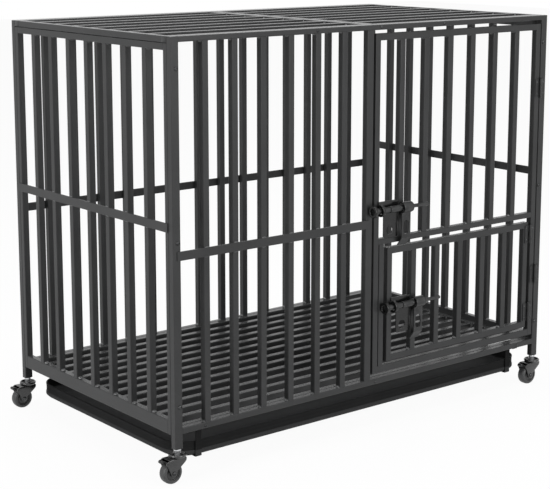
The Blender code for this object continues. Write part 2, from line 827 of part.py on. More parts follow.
def tray():
    """The waste tray: a pan of sheet steel with a wider band round its foot."""
    band_top = TRAY_LOW + TRAY_BAND
    levels = [
        (TRAY_FOOT, TRAY_LOW),
        (0.0, TRAY_LOW + TRAY_FOOT),
        (0.0, band_top),
        (TRAY_STEP, band_top + TRAY_STEP),
        (TRAY_STEP, TRAY_HIGH),
    ]
    bm = bmesh.new()
    loops = [
        [bm.verts.new((x, y, height)) for x, y in tray_loop(inset)]
        for inset, height in levels
    ]
    bm.faces.new(reversed(loops[0]))
    for lower, upper in zip(loops, loops[1:]):
        count = len(lower)
        for i in range(count):
            j = (i + 1) % count
            bm.faces.new((lower[i], lower[j], upper[j], upper[i]))
    bmesh.ops.recalc_face_normals(bm, faces=bm.faces)
    mesh = bpy.data.meshes.new("tray")
    bm.to_mesh(mesh)
    bm.free()
    pan = bpy.data.objects.new("tray", mesh)
    pan.location = (0.0, 0.0, CASTER_HEIGHT)
    PIECES.objects.link(pan)
    sheet = pan.modifiers.new("sheet", "SOLIDIFY")
    sheet.thickness = TRAY_SHEET
    sheet.offset = -1.0
    pan = to_mesh(pan)
    smooth(pan)
    paint(pan, "tray_steel")


def tray_hangers():
    """Four bent straps: screwed under the bottom rails, down past the tray, and in under it."""
    wall = TRAY_HALF_DEPTH + 0.001
    top = BOTTOM_RAIL_LOW - FIT
    outer = HALF_DEPTH - 0.003
    lip_top = TRAY_LOW - FIT
    outline = [
        (outer, top),
        (wall, top),
        (wall, lip_top),
        (wall - HANGER_LIP, lip_top),
        (wall - HANGER_LIP, lip_top - HANGER_THICK),
        (wall + HANGER_THICK, lip_top - HANGER_THICK),
        (wall + HANGER_THICK, top - HANGER_THICK),
        (outer, top - HANGER_THICK),
    ]
    for name, (sx, sy) in CORNERS.items():
        loop = [(sy * y, z) for y, z in outline]
        place = (sx * HANGER_X, 0.0, CASTER_HEIGHT)
        hanger = flat_outline(f"tray_hanger_{name}", [loop], HANGER_WIDTH, place, ENDWISE)
        move_origin(hanger, (place[0], sy * wall, CASTER_HEIGHT))
        paint(hanger, "powder_coat")


def fork_side():
    """A fork leg from its side, as (X, Z) about the swivel axis at the ground."""
    axle = (-WHEEL_TRAIL, WHEEL_RADIUS)
    boss = 0.0075
    points = [(0.015, FORK_TOP), (0.015, 0.051), (0.004, 0.041)]
    points += arc(axle, boss, 30, -160, 8)
    back = PEDAL_PIVOT[0] - 0.0045
    points += [(-0.034, 0.045), (back, 0.047), (back, 0.0525), (-0.030, FORK_TOP)]
    return points


def fork():
    """The caster's folded fork under its bearing cup, about the swivel axis at the ground."""
    outer = FORK_INNER + FORK_SHEET
    leg_low = 0.010
    channel = [
        (-outer, leg_low),
        (-FORK_INNER, leg_low),
        (-FORK_INNER, FORK_TOP - FORK_SHEET),
        (FORK_INNER, FORK_TOP - FORK_SHEET),
        (FORK_INNER, leg_low),
        (outer, leg_low),
        (outer, FORK_TOP),
        (-outer, FORK_TOP),
    ]
    piece = flat_outline("fork", [channel], 0.120, (0.0, 0.0, 0.0), ENDWISE)
    side = flat_outline("fork_side", [fork_side()], 0.060, (0.0, 0.0, 0.0), UPRIGHT)
    side.hide_render = True
    piece = combine(piece, "INTERSECT", side)
    floor = FORK_TOP + 0.0015
    cup_profile = [
        (0.0, floor),
        (0.0150, floor),
        (0.0165, CUP_TOP),
        (0.0190, CUP_TOP - 0.0005),
        (CUP_RADIUS, CUP_TOP - 0.004),
        (0.0190, FORK_TOP + 0.001),
        (0.0140, FORK_TOP - 0.0012),
        (0.0, FORK_TOP - 0.0012),
    ]
    cup = turned("cup", cup_profile, 18)
    cup.hide_render = True
    piece = combine(piece, "UNION", cup)
    stem_hole = round_tool("Z", (0.0, 0.0, FORK_TOP), SHANK_RADIUS + FIT, 0.02)
    across = THROUGH * 2 * outer
    axle_hole = round_tool("Y", (-WHEEL_TRAIL, 0.0, WHEEL_RADIUS), AXLE_RADIUS + FIT, across)
    pedal_middle = (PEDAL_PIVOT[0], 0.0, PEDAL_PIVOT[1])
    pedal_hole = round_tool("Y", pedal_middle, PEDAL_PIN + FIT, across)
    piece = combine(piece, "DIFFERENCE", stem_hole, axle_hole, pedal_hole)
    move_origin(piece, (0.0, 0.0, 0.0))
    smooth(piece)
    return piece


def stem():
    """The fixed stem: a tapered collar under the post, a shank and a riveted end."""
    collar_low = FORK_TOP + 0.0019
    rivet_high = FORK_TOP - FORK_SHEET - FIT
    profile = [
        (0.0, CASTER_HEIGHT - FIT),
        (0.0082, CASTER_HEIGHT - FIT),
        (0.0082, CASTER_HEIGHT - 0.0025),
        (0.0058, collar_low + 0.002),
        (0.0058, collar_low),
        (SHANK_RADIUS, collar_low),
        (SHANK_RADIUS, rivet_high),
        (0.0062, rivet_high),
        (0.0055, rivet_high - 0.0022),
        (0.0, rivet_high - 0.0022),
    ]
    piece = turned("stem", profile, 14)
    smooth(piece)
    return piece


def wheel():
    """The wheel about its axle along Y: a tyre with rounded shoulders round a dished hub."""
    true_radius = WHEEL_RADIUS / math.cos(math.pi / WHEEL_SIDES)
    half = WHEEL_WIDTH / 2
    hub_half = WHEEL_HUB_WIDTH / 2
    bore = AXLE_RADIUS + FIT
    upper = [
        (bore, hub_half),
        (WHEEL_HUB, hub_half),
        (0.0175, half - 0.004),
        (0.0190, half),
        (true_radius - 0.0025, half),
        (true_radius, half - 0.0045),
    ]
    lower = [(radius, -height) for radius, height in reversed(upper)]
    piece = turned("wheel", upper + lower + upper[:1], WHEEL_SIDES)
    piece.data.transform(Matrix.Rotation(math.pi / WHEEL_SIDES, 4, "Z"))
    piece.data.transform(Matrix.Rotation(math.pi / 2, 4, "X"))
    smooth(piece)
    return piece


def axle():
    """The axle about its middle, along Y, with a low head outside each leg."""
    seat = FORK_INNER + FORK_SHEET + FIT
    head = 0.0024
    upper = [
        (0.0, seat + head),
        (0.0038, seat + head),
        (0.0052, seat + head / 2),
        (0.0052, seat),
        (AXLE_RADIUS, seat),
    ]
    lower = [(radius, -height) for radius, height in reversed(upper)]
    piece = turned("axle", upper + lower, 12)
    piece.data.transform(Matrix.Rotation(math.pi / 2, 4, "X"))
    smooth(piece)
    return piece


def pedal():
    """The brake pedal about its pivot along Y, with a nose that meets the tyre when pressed."""
    outline = arc((-0.0095, 0.0030), 0.0042, 70, 250, 8)
    outline += [(-0.0030, -0.0035), (0.0012, -0.0048), (0.0036, -0.0015), (0.0036, 0.0012)]
    piece = flat_outline("pedal", [outline], PEDAL_WIDTH, (0.0, 0.0, 0.0), UPRIGHT)
    trunnion = round_tool("Y", (0.0, 0.0, 0.0), PEDAL_PIN, 2 * (FORK_INNER + FORK_SHEET))
    piece = combine(piece, "UNION", trunnion)
    move_origin(piece, (0.0, 0.0, 0.0))
    smooth(piece)
    return piece


def casters():
    """Four swivel casters with brakes, all trailing to the left."""
    axle_place = (-WHEEL_TRAIL, WHEEL_RADIUS)
    patterns = {
        "stem": (stem(), (0.0, 0.0), "bright_zinc"),
        "fork": (fork(), (0.0, 0.0), "black_steel"),
        "wheel": (wheel(), axle_place, "grey_tyre"),
        "axle": (axle(), axle_place, "dull_zinc"),
        "pedal": (pedal(), PEDAL_PIVOT, "black_plastic"),
    }
    for corner, (sx, sy) in CORNERS.items():
        for part, (pattern, (dx, height), finish) in patterns.items():
            place = (sx * CASTER_X + dx, sy * CASTER_Y, height)
            paint(copy_of(pattern, f"caster_{part}_{corner}", place), finish)
    for pattern, _, _ in patterns.values():
        bpy.data.objects.remove(pattern)


def corner_bolts():
    """The upper bolt at each corner, from the post's outer face into the side panel's stile."""
    shank_end = HALF_DEPTH - TUBE - SIDE_STILE + 0.002
    head = 0.0030
    for corner, (sx, sy) in CORNERS.items():
        face = HALF_DEPTH + FIT
        profile = [
            (0.0, face + head),
            (0.6 * CORNER_BOLT_HEAD, face + 0.9 * head),
            (0.9 * CORNER_BOLT_HEAD, face + 0.55 * head),
            (CORNER_BOLT_HEAD, face),
            (CORNER_BOLT_RADIUS, face),
            (CORNER_BOLT_RADIUS, shank_end),
            (0.0, shank_end),
        ]
        place = (sx * CORNER_BOLT_X, 0.0, CASTER_HEIGHT + CORNER_BOLT_HEIGHT)
        turn = (-sy * math.pi / 2, 0.0, 0.0)
        bolt = turned(f"corner_bolt_{corner}", profile, 12, place, turn)
        smooth(bolt)
        paint(bolt, "dull_zinc")


def set_on_origin():
    """Moves every piece so that the origin lies below the middle of the crate's whole box."""
    for obj in PIECES.objects:
        obj.location.x -= BOX_MIDDLE[0]
        obj.location.y -= BOX_MIDDLE[1]


clear_scene()
PIECES = new_collection("dog_crate")
TOOLS = new_collection("cutters")
front_frame()
back_frame()
side_panel("left_panel", -1)
side_panel("right_panel", 1)
roof_panel("top_panel_left", -1)
roof_panel("top_panel_right", 1)
floor_grate()
main_door()
feed_door()
hinges()
slide_bolts()
tray()
tray_hangers()
casters()
corner_bolts()
set_on_origin()
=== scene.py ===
"""Heavy dog crate on casters: welded square tube, two barred doors with slide bolts, a waste tray.

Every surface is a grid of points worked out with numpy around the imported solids. Lengths are in
metres. Sizes are given from the middle of the four panels, and heights from the feet of the
corner posts; PANEL_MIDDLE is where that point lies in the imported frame.
"""

import logging
import math
from dataclasses import dataclass
from enum import Enum
from typing import Callable, Iterable, Sequence, Union

import bmesh
import bpy
import numpy as np
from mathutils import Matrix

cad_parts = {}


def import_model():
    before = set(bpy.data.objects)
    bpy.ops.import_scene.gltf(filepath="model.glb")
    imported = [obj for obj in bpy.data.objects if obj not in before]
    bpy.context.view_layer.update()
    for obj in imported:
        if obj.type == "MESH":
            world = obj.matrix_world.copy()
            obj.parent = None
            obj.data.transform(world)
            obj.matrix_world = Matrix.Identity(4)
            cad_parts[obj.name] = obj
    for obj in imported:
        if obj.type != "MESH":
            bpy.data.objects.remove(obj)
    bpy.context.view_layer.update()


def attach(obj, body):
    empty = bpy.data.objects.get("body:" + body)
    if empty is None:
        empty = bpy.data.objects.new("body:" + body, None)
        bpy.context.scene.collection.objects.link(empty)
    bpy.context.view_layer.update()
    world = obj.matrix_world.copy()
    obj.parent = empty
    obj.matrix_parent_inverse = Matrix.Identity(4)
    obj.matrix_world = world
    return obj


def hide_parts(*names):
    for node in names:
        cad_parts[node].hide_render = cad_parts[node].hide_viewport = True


Array = np.ndarray
Colour = tuple[float, float, float, float]
Pair = tuple[float, float]
Term = Union["Socket", float]
Triple = tuple[float, float, float]

LOG = logging.getLogger("dog_crate")

PANEL_MIDDLE = np.array([0.0136, 0.00865, 0.0750])
HALF_LENGTH = 0.584
HALF_DEPTH = 0.339
BODY_HEIGHT = 0.900
GROUND = -0.075
TUBE = 0.016
TUBE_EDGE = 0.0017
OVERLAP = 0.0006
FRONT = -HALF_DEPTH
POST_WIDTH = 0.020
POST_INNER = HALF_LENGTH - POST_WIDTH
SIDE_HALF_DEPTH = 0.3226
STRIP_WIDTH = 0.020
STRIP_THICK = 0.0040
STRIP_PROUD = 0.0010
STRIP_EDGE = 0.0007
MERGE = 0.000002
TINY = 1e-12
SHARP = math.radians(38)
CORNERS = {
    "front_left": (-1, -1),
    "front_right": (1, -1),
    "back_left": (-1, 1),
    "back_right": (1, 1),
}


# Shapes


@dataclass
class Form:
    """Points and faces of one or more surfaces."""

    points: Array
    faces: list[list[int]]

    @classmethod
    def grid(cls, points: Array, around: bool = True, along: bool = False, caps: bool = False) -> "Form":
        """Joins a grid of points, rows by columns, into four-sided faces.

        Args:
            points: the grid, as rows x columns x 3.
            around: whether each row closes on itself.
            along: whether the last row joins the first.
            caps: whether a face fills the first row and the last.

        Returns:
            The surface.
        """
        rows, columns = points.shape[:2]
        index = np.arange(rows * columns).reshape(rows, columns)
        first, last = index[0], index[-1]
        if around:
            index = np.hstack([index, index[:, :1]])
        if along:
            index = np.vstack([index, index[:1]])
        quads = np.stack([index[:-1, :-1], index[:-1, 1:], index[1:, 1:], index[1:, :-1]], axis=-1)
        faces = quads.reshape(-1, 4).tolist()
        if caps:
            faces += [first[::-1].tolist(), last.tolist()]
        return cls(points.reshape(-1, 3), faces)

    @classmethod
    def joined(cls, forms: Iterable["Form"]) -> "Form":
        """Several forms as one.

        Args:
            forms: the forms, in any number.

        Returns:
            One form with all their points and faces, in order.
        """
        points, faces, count = [], [], 0
        for form in forms:
            points.append(form.points)
            faces += [[index + count for index in face] for face in form.faces]
            count += len(form.points)
        return cls(np.vstack(points), faces)

    def moved(self, offset: Sequence[float]) -> "Form":
        """The form shifted by an offset."""
        return Form(self.points + np.asarray(offset, float), self.faces)

    def laid(self, axes: Sequence[int], signs: Sequence[int] = (1, 1, 1)) -> "Form":
        """The form turned from its own directions to the crate's.

        Args:
            axes: the crate axis that each of its own three directions is laid along.
            signs: -1 for an own direction that is turned round first.

        Returns:
            The turned form.
        """
        points = np.empty_like(self.points)
        points[:, list(axes)] = self.points * np.asarray(signs, float)
        return Form(points, self.faces)

    def mapped(self, rule: Callable[[Array], Array]) -> "Form":
        """The form with a rule applied to its whole array of points."""
        return Form(rule(self.points), self.faces)


def unit(vectors: Array) -> Array:
    """Each vector along the last axis divided by its length."""
    return vectors / np.maximum(np.linalg.norm(vectors, axis=-1, keepdims=True), TINY)


def soften(points: Sequence[Pair], reach: float, steps: int = 3, closed: bool = True) -> Array:
    """Rounds the corners of a flat line.

    Corner P becomes the curve (1-t)^2 A + 2t(1-t) P + t^2 B, where A and B lie on the two sides of
    P, as far from it as the reach or as just under half the side. One step gives a chamfer.

    Args:
        points: the line's corners.
        reach: how far from a corner its curve starts.
        steps: steps in each curve.
        closed: whether the line closes on itself; if not, its two ends stay.

    Returns:
        The rounded line, n x 2.
    """
    corner = np.asarray(points, float)
    ends = []
    for shift in (1, -1):
        side = np.roll(corner, shift, axis=0) - corner
        length = np.linalg.norm(side, axis=1, keepdims=True)
        ends.append(corner + unit(side) * np.minimum(reach, 0.46 * length))
    start, end = (points[:, None] for points in ends)
    t = np.linspace(0.0, 1.0, steps + 1)[None, :, None]
    curves = (1 - t) ** 2 * start + 2 * t * (1 - t) * corner[:, None] + t**2 * end
    if closed:
        return curves.reshape(-1, 2)
    return np.vstack([corner[:1], curves[1:-1].reshape(-1, 2), corner[-1:]])


def arc(centre: Pair, radius: float, start: float, end: float, steps: int) -> Array:
    """Points centre + radius (cos a, sin a), with the angle a in degrees from start to end."""
    angle = np.radians(np.linspace(start, end, steps + 1))
    return np.stack([centre[0] + radius * np.cos(angle), centre[1] + radius * np.sin(angle)], axis=1)


def mirrored(upper: Sequence[Pair], middle: Sequence[Pair] = ()) -> list[Pair]:
    """A profile of (radius, height) points, any middle points, and the profile's mirror image."""
    return [*upper, *middle, *((radius, -height) for radius, height in reversed(upper))]


def rounded_rectangle(width: float, depth: float, radius: float, steps: int = 4) -> Array:
    """A rectangle about zero with round corners.

    Each corner is an arc about a point one radius inside it. A further point just before and
    after each arc, on the flat, keeps the flats shaded flat.

    Args:
        width: size along the first direction.
        depth: size along the second.
        radius: radius of the corners.
        steps: steps in each corner's arc.

    Returns:
        The outline, n x 2.
    """
    ease = 0.12 * radius
    turn = np.vstack([[radius, -ease], arc((0.0, 0.0), radius, 0.0, 90.0, steps), [-ease, radius]])
    middle = np.array([width / 2 - radius, depth / 2 - radius])
    quarters = []
    for quarter, sign in enumerate(((1, 1), (-1, 1), (-1, -1), (1, -1))):
        spin = quarter * math.pi / 2
        matrix = np.array([[math.cos(spin), -math.sin(spin)], [math.sin(spin), math.cos(spin)]])
        quarters.append(middle * sign + turn @ matrix.T)
    return np.vstack(quarters)


def tube(
    start: Sequence[float],
    end: Sequence[float],
    width: float,
    depth: float,
    across: Sequence[float],
    radius: float = TUBE_EDGE,
) -> Form:
    """A straight square tube.

    Point (i, j) = start + axis * station_i + across * section_j,1 + (axis x across) * section_j,2,
    where the section is a rounded rectangle, drawn in a little at both ends.

    Args:
        start: middle of the first end.
        end: middle of the last end.
        width: size along the across direction.
        depth: size at right angles to it.
        across: unit direction of the width.
        radius: radius of the tube's edges.

    Returns:
        The closed tube.
    """
    start, end, across = (np.asarray(v, float) for v in (start, end, across))
    length = float(np.linalg.norm(end - start))
    axis = (end - start) / length
    through = np.cross(axis, across)
    ease = min(OVERLAP, 0.3 * length)
    full = rounded_rectangle(width, depth, radius)
    small = rounded_rectangle(width - 2 * ease, depth - 2 * ease, radius)
    sections = np.stack([small, full, full, small])
    stations = np.array([0.0, ease, length - ease, length])
    points = start + stations[:, None, None] * axis
    points = points + sections[..., :1] * across + sections[..., 1:] * through
    return Form.grid(points, caps=True)


def drawn_in(outline: Array, distance: Array) -> Array:
    """Copies of a closed outline moved inwards along the mean normal of the sides at each point.

    Args:
        outline: the outline, n x 2, in either direction.
        distance: how far in each copy lies.

    Returns:
        The copies, one for each distance, as copies x n x 2.
    """
    ahead = unit(np.roll(outline, -1, axis=0) - outline)
    tangent = unit(ahead + np.roll(ahead, 1, axis=0))
    inward = np.stack([-tangent[:, 1], tangent[:, 0]], axis=1)
    area = np.sum(outline[:, 0] * np.roll(outline[:, 1], -1) - np.roll(outline[:, 0], -1) * outline[:, 1])
    return outline + math.copysign(1.0, area) * inward * distance[:, None, None]


def stacked(rings: Array, levels: Array) -> Form:
    """A closed solid of flat rings, ring i lying at level i along the third direction."""
    heights = np.broadcast_to(levels[:, None, None], (*rings.shape[:2], 1))
    return Form.grid(np.concatenate([rings, heights], axis=2), caps=True)


def plate(outline: Array, thickness: float, bevel: float) -> Form:
    """A flat plate with rounded rims, its thickness along the third direction.

    Each ring is the outline drawn in by bevel * (1 - sin a) at depth bevel * (1 - cos a), with a
    from 0 to 90 degrees at one face and back again at the other.

    Args:
        outline: the plate's outline, n x 2.
        thickness: distance between its faces.
        bevel: radius of the rims.

    Returns:
        The closed plate, about its middle plane.
    """
    angle = np.linspace(0.0, math.pi / 2, 4)
    inset = bevel * (1 - np.sin(angle))
    depth = bevel * (1 - np.cos(angle))
    levels = np.concatenate([depth - thickness / 2, (thickness / 2 - depth)[::-1]])
    return stacked(drawn_in(outline, np.concatenate([inset, inset[::-1]])), levels)


class Axis(Enum):
    """The crate axis that a turned piece is turned about, as places to roll its coordinates."""

    X = 1
    Y = 2
    Z = 0


def turned(
    profile: Sequence[Pair],
    axis: Axis,
    sides: int = 40,
    closed: bool = False,
    reach: float = 0.0,
    steps: int = 3,
) -> Form:
    """A turned piece about an axis through zero.

    Point (i, j) = (r_i cos a_j, r_i sin a_j, h_i) for profile points (r_i, h_i), rolled so that
    the third direction lies along the axis.

    Args:
        profile: (radius, height) points.
        axis: the crate axis it is turned about.
        sides: steps in the turn.
        closed: whether the profile is a closed section, as a ring's is.
        reach: how far from a corner of the profile its rounding starts; 0 leaves it sharp.
        steps: steps in each rounding.

    Returns:
        The turned surface.
    """
    if reach:
        profile = soften(profile, reach, steps, closed)
    profile = np.asarray(profile, float)
    angle = np.linspace(0.0, 2 * math.pi, sides, endpoint=False)
    radius, height = profile[:, :1], profile[:, 1:]
    heights = np.broadcast_to(height, (len(profile), sides))
    points = np.stack([radius * np.cos(angle), radius * np.sin(angle), heights], axis=-1)
    return Form.grid(np.roll(points, axis.value, axis=-1), along=closed)


def carried(path: Array, section: Array, side: Sequence[float]) -> Form:
    """A section carried along a flat path, closed at both ends.

    Point (i, j) = path_i + side * section_j,1 + normal_i * section_j,2, where normal_i is side x
    tangent at that point of the path.

    Args:
        path: the path's points, n x 3.
        section: the section's outline, m x 2.
        side: unit direction at right angles to the path's plane.

    Returns:
        The closed form.
    """
    side = np.asarray(side, float)
    normal = np.cross(side, unit(np.gradient(path, axis=0)))
    points = path[:, None] + section[None, :, :1] * side + section[None, :, 1:] * normal[:, None]
    return Form.grid(points, caps=True)


def screw_head(radius: float, height: float, socket: float) -> Array:
    """Profile of a low domed screw head, with a round-bottomed socket in its middle.

    Args:
        radius: the head's radius.
        height: its height over the surface.
        socket: the socket's radius.

    Returns:
        (radius, height) points from the axis below the head to the axis in the socket.
    """
    seat = -0.0012
    foot = [(0.0, seat), (radius * 0.96, seat), (radius, 0.0)]
    dome = arc((0.0, 0.0), 1.0, 8.0, 62.0, 6) * (radius, height)
    well = [(socket * 1.15, 0.98), (socket, 0.9), (socket * 0.8, 0.38), (0.0, 0.3)]
    return np.vstack([foot, dome, np.array(well) * (1.0, height)])


# Materials


class Socket:
    """A value in a material that takes part in arithmetic by adding Math nodes."""

    def __init__(self, graph: "Graph", output: bpy.types.NodeSocket) -> None:
        """Wraps one output of a node."""
        self.graph = graph
        self.output = output

    def _math(self, operation: str, first: Term, second: Term) -> "Socket":
        """One Math node for two terms."""
        return self.graph.value("ShaderNodeMath", {"operation": operation}, {0: first, 1: second})

    def __add__(self, other: Term) -> "Socket":
        """self + other."""
        return self._math("ADD", self, other)

    __radd__ = __add__

    def __sub__(self, other: Term) -> "Socket":
        """self - other."""
        return self._math("SUBTRACT", self, other)

    def __rsub__(self, other: Term) -> "Socket":
        """other - self."""
        return self._math("SUBTRACT", other, self)

    def __mul__(self, other: Term) -> "Socket":
        """self * other."""
        return self._math("MULTIPLY", self, other)

    __rmul__ = __mul__

    def most(self, other: Term) -> "Socket":
        """The larger of the two."""
        return self._math("MAXIMUM", self, other)

    def span(self, low: float, high: float, to_low: float = 0.0, to_high: float = 1.0) -> "Socket":
        """Eases from to_low to to_high as the value goes from low to high, held at both ends.

        Args:
            low: value where the easing starts.
            high: value where it ends.
            to_low: result at and below low.
            to_high: result at and above high.

        Returns:
            The eased value.
        """
        settings = {"interpolation_type": "SMOOTHSTEP", "clamp": True}
        inputs = {0: self, 1: low, 2: high, 3: to_low, 4: to_high}
        return self.graph.value("ShaderNodeMapRange", settings, inputs)


class Graph:
    """The nodes of one material, or of the sky."""

    def __init__(self, owner: bpy.types.Material | bpy.types.World) -> None:
        """Starts a material or a world with no nodes in it."""
        owner.use_nodes = True
        self.owner = owner
        self.tree = owner.node_tree
        self.tree.nodes.clear()

    def node(self, kind: str, settings: dict | None = None, inputs: dict | None = None) -> bpy.types.Node:
        """Adds a node.

        Args:
            kind: the node's type.
            settings: its own settings, which are set first.
            inputs: values or links for its sockets, by name or number.

        Returns:
            The node.
        """
        node = self.tree.nodes.new(kind)
        for key, value in (settings or {}).items():
            setattr(node, key, value)
        for key, value in (inputs or {}).items():
            if isinstance(value, Socket):
                self.tree.links.new(value.output, node.inputs[key])
            else:
                node.inputs[key].default_value = value
        return node

    def value(
        self, kind: str, settings: dict | None = None, inputs: dict | None = None, output: int | str = 0
    ) -> Socket:
        """Adds a node and gives one of its outputs, by number or name."""
        return Socket(self, self.node(kind, settings, inputs).outputs[output])

    def place(self, scale: Triple = (1.0, 1.0, 1.0)) -> Socket:
        """The piece's own coordinates, stretched by a scale."""
        position = self.value("ShaderNodeTexCoord", output="Object")
        return self.value("ShaderNodeMapping", {}, {"Vector": position, "Scale": scale})

    def noise(
        self, scale: float, detail: float = 3.0, stretch: Triple = (1.0, 1.0, 1.0), rough: float = 0.55
    ) -> Socket:
        """Noise of so many waves to the metre, from 0 to 1."""
        inputs = {"Vector": self.place(stretch), "Scale": scale, "Detail": detail, "Roughness": rough}
        return self.value("ShaderNodeTexNoise", {}, inputs)

    def cells(self, scale: float) -> Socket:
        """Rounded cells, so many to the metre: distance from the cell's middle."""
        inputs = {"Vector": self.place(), "Scale": scale, "Smoothness": 0.7}
        return self.value("ShaderNodeTexVoronoi", {"feature": "SMOOTH_F1"}, inputs, "Distance")

    def third(self, vector: Socket) -> Socket:
        """A vector's Z."""
        return self.value("ShaderNodeSeparateXYZ", {}, {0: vector}, 2)

    def upward(self) -> Socket:
        """How far the surface faces up, from -1 to 1."""
        return self.third(self.value("ShaderNodeNewGeometry", output="Normal"))

    def mix(self, share: Term, first: Socket | float, second: float) -> Socket:
        """A colour between two.

        Args:
            share: how much of the second colour there is, 0 to 1.
            first: a colour, or the level of a neutral grey.
            second: the level of a neutral grey.

        Returns:
            The mixed colour.
        """
        base = first if isinstance(first, Socket) else grey(first)
        return self.value("ShaderNodeMix", {"data_type": "RGBA"}, {0: share, 6: base, 7: grey(second)}, 2)

    def bump(self, height: Term, depth: float, strength: float) -> Socket:
        """A bump of a height field, depth in metres."""
        return self.value("ShaderNodeBump", {}, {"Height": height, "Distance": depth, "Strength": strength})

    def surface(self, **sockets: Term) -> bpy.types.Material:
        """Ends the material in one Principled shader.

        Args:
            **sockets: its sockets' values or links, named in small letters with underscores.

        Returns:
            The finished material.
        """
        names = {key: key.replace("_", " ").title().replace("Ior", "IOR") for key in sockets}
        inputs = {names[key]: value for key, value in sockets.items()}
        self.node("ShaderNodeOutputMaterial", {}, {0: self.value("ShaderNodeBsdfPrincipled", {}, inputs)})
        return self.owner


def grey(level: float) -> Colour:
    """A neutral colour, a touch cool as dark paint is."""
    return (level * 0.985, level, level * 1.015, 1.0)


@dataclass(frozen=True)
class PowderCoat:
    """Charcoal hammer-finish powder coat, lighter on what faces up: a little dust and painted top light.

    Attributes:
        name: the material's name.
        dark: grey level of its darkest spots.
        light: grey level of its lightest spots.
        dust_and_top_light_level: grey level of the dust and painted top light on faces that face up.
        grain: hammer cells to the metre.
        roughness: roughness before its mottling.
        specular: strength of its shine.
        relief: depth of the hammer finish.
    """

    name: str = "charcoal_powder_coat"
    dark: float = 0.024
    light: float = 0.040
    dust_and_top_light_level: float = 0.066
    grain: float = 620.0
    roughness: float = 0.22
    specular: float = 0.22
    relief: float = 0.00012

    def build(self) -> bpy.types.Material:
        """Makes the material: clouded grey cells under fine pebbling, lightened from above by dust and
        painted top light.
        """
        graph = Graph(bpy.data.materials.new(self.name))
        clouds = graph.noise(9.0, 4.0)
        cells = graph.cells(self.grain)
        pebble = graph.noise(1500.0, 2.0)
        # Dust and painted top light: faces that face up are mixed towards a lighter grey, mottled by noise.
        dust_and_top_light = graph.upward().span(0.5, 0.95) * graph.noise(38.0, 5.0).span(0.25, 0.75, 0.45, 1.0)
        tone = (clouds * 0.55 + cells * 0.45 + pebble * 0.25).span(0.25, 0.95)
        height = cells.span(0.1, 0.75, 1.0, 0.0) + pebble * 0.35
        return graph.surface(
            base_color=graph.mix(dust_and_top_light * 0.6, graph.mix(tone, self.dark, self.light), self.dust_and_top_light_level),
            roughness=self.roughness + 0.10 * clouds + 0.10 * pebble - 0.07 * graph.upward().most(0.0),
            specular_ior_level=self.specular,
            normal=graph.bump(height, self.relief, 0.40),
        )


@dataclass(frozen=True)
class WornSteel:
    """Plated or painted steel, with smudges, fine scratches along it and rubbed high spots.

    Attributes:
        name: the material's name.
        dark: grey level where it is clean.
        light: grey level where it is rubbed.
        metallic: how metallic it is.
        roughness: roughness where it is clean.
        coat: weight of a clear coat.
        relief: depth of its specks and scratches.
    """

    name: str
    dark: float
    light: float
    metallic: float
    roughness: float
    coat: float = 0.0
    relief: float = 0.00005

    def build(self) -> bpy.types.Material:
        """Makes the material: smudges, specks and long scratches share tone, shine and relief."""
        graph = Graph(bpy.data.materials.new(self.name))
        smudge = graph.noise(70.0, 5.0)
        scratch = graph.noise(420.0, 3.0, (0.16, 1.0, 1.0), 0.7).span(0.56, 0.74)
        fleck = graph.noise(1900.0, 2.0)
        tone = (smudge * 0.7 + fleck * 0.3 + scratch * 0.35).span(0.25, 0.85)
        return graph.surface(
            base_color=graph.mix(tone, self.dark, self.light),
            metallic=self.metallic,
            roughness=self.roughness + 0.16 * smudge + 0.10 * scratch,
            coat_weight=self.coat,
            coat_roughness=0.2,
            normal=graph.bump(fleck * 0.6 + scratch * 0.4, self.relief, 0.35),
        )


@dataclass(frozen=True)
class TrayEnamel:
    """Black baked enamel on rolled sheet: faint level draw lines, and painted light on a band at its foot.

    Attributes:
        name: the material's name.
        dark: grey level of its darkest lines.
        light: grey level of its lightest lines.
        lit_band: grey level of the painted light on the band at its foot.
        band: heights over the ground between which the painted light fades out.
        roughness: roughness before its blotches.
        relief: depth of the draw lines.
    """

    name: str = "black_tray_enamel"
    dark: float = 0.008
    light: float = 0.016
    lit_band: float = 0.065
    band: Pair = (0.0490, 0.0515)
    roughness: float = 0.56
    relief: float = 0.0002

    def build(self) -> bpy.types.Material:
        """Makes the material: noise squeezed flat gives level lines, and height gives the painted light at
        the foot.
        """
        graph = Graph(bpy.data.materials.new(self.name))
        lines = graph.noise(5.0, 4.0, (0.3, 0.3, 55.0), 0.65)
        blotch = graph.noise(16.0, 4.0)
        fleck = graph.noise(1300.0, 2.0)
        # Painted light: below the band's heights the colour is mixed towards a lighter grey, as if lit
        # under the frame's shade.
        foot = graph.third(graph.place()).span(*self.band, 1.0, 0.0)
        tone = (lines * 0.6 + blotch * 0.4 + fleck * 0.15).span(0.3, 0.85)
        return graph.surface(
            base_color=graph.mix(foot * 0.45, graph.mix(tone, self.dark, self.light), self.lit_band),
            roughness=self.roughness + 0.16 * blotch + 0.08 * lines,
            specular_ior_level=0.05,
            normal=graph.bump(lines * 0.5 + fleck * 0.3, self.relief, 0.3),
        )


@dataclass(frozen=True)
class Moulded:
    """Moulded rubber or plastic: a matt skin with a fine grain and a little grime.

    Attributes:
        name: the material's name.
        dark: grey level where it is clean.
        light: grey level of the grime.
        roughness: roughness where it is clean.
        grain: waves of the grain to the metre.
        relief: depth of the grain.
    """

    name: str
    dark: float
    light: float
    roughness: float
    grain: float
    relief: float = 0.00008

    def build(self) -> bpy.types.Material:
        """Makes the material."""
        graph = Graph(bpy.data.materials.new(self.name))
        grime = graph.noise(90.0, 5.0)
        grain = graph.noise(self.grain, 3.0)
        return graph.surface(
            base_color=graph.mix((grime * 0.7 + grain * 0.4).span(0.3, 0.8), self.dark, self.light),
            roughness=self.roughness + 0.14 * grime,
            normal=graph.bump(grain, self.relief, 0.5),
        )


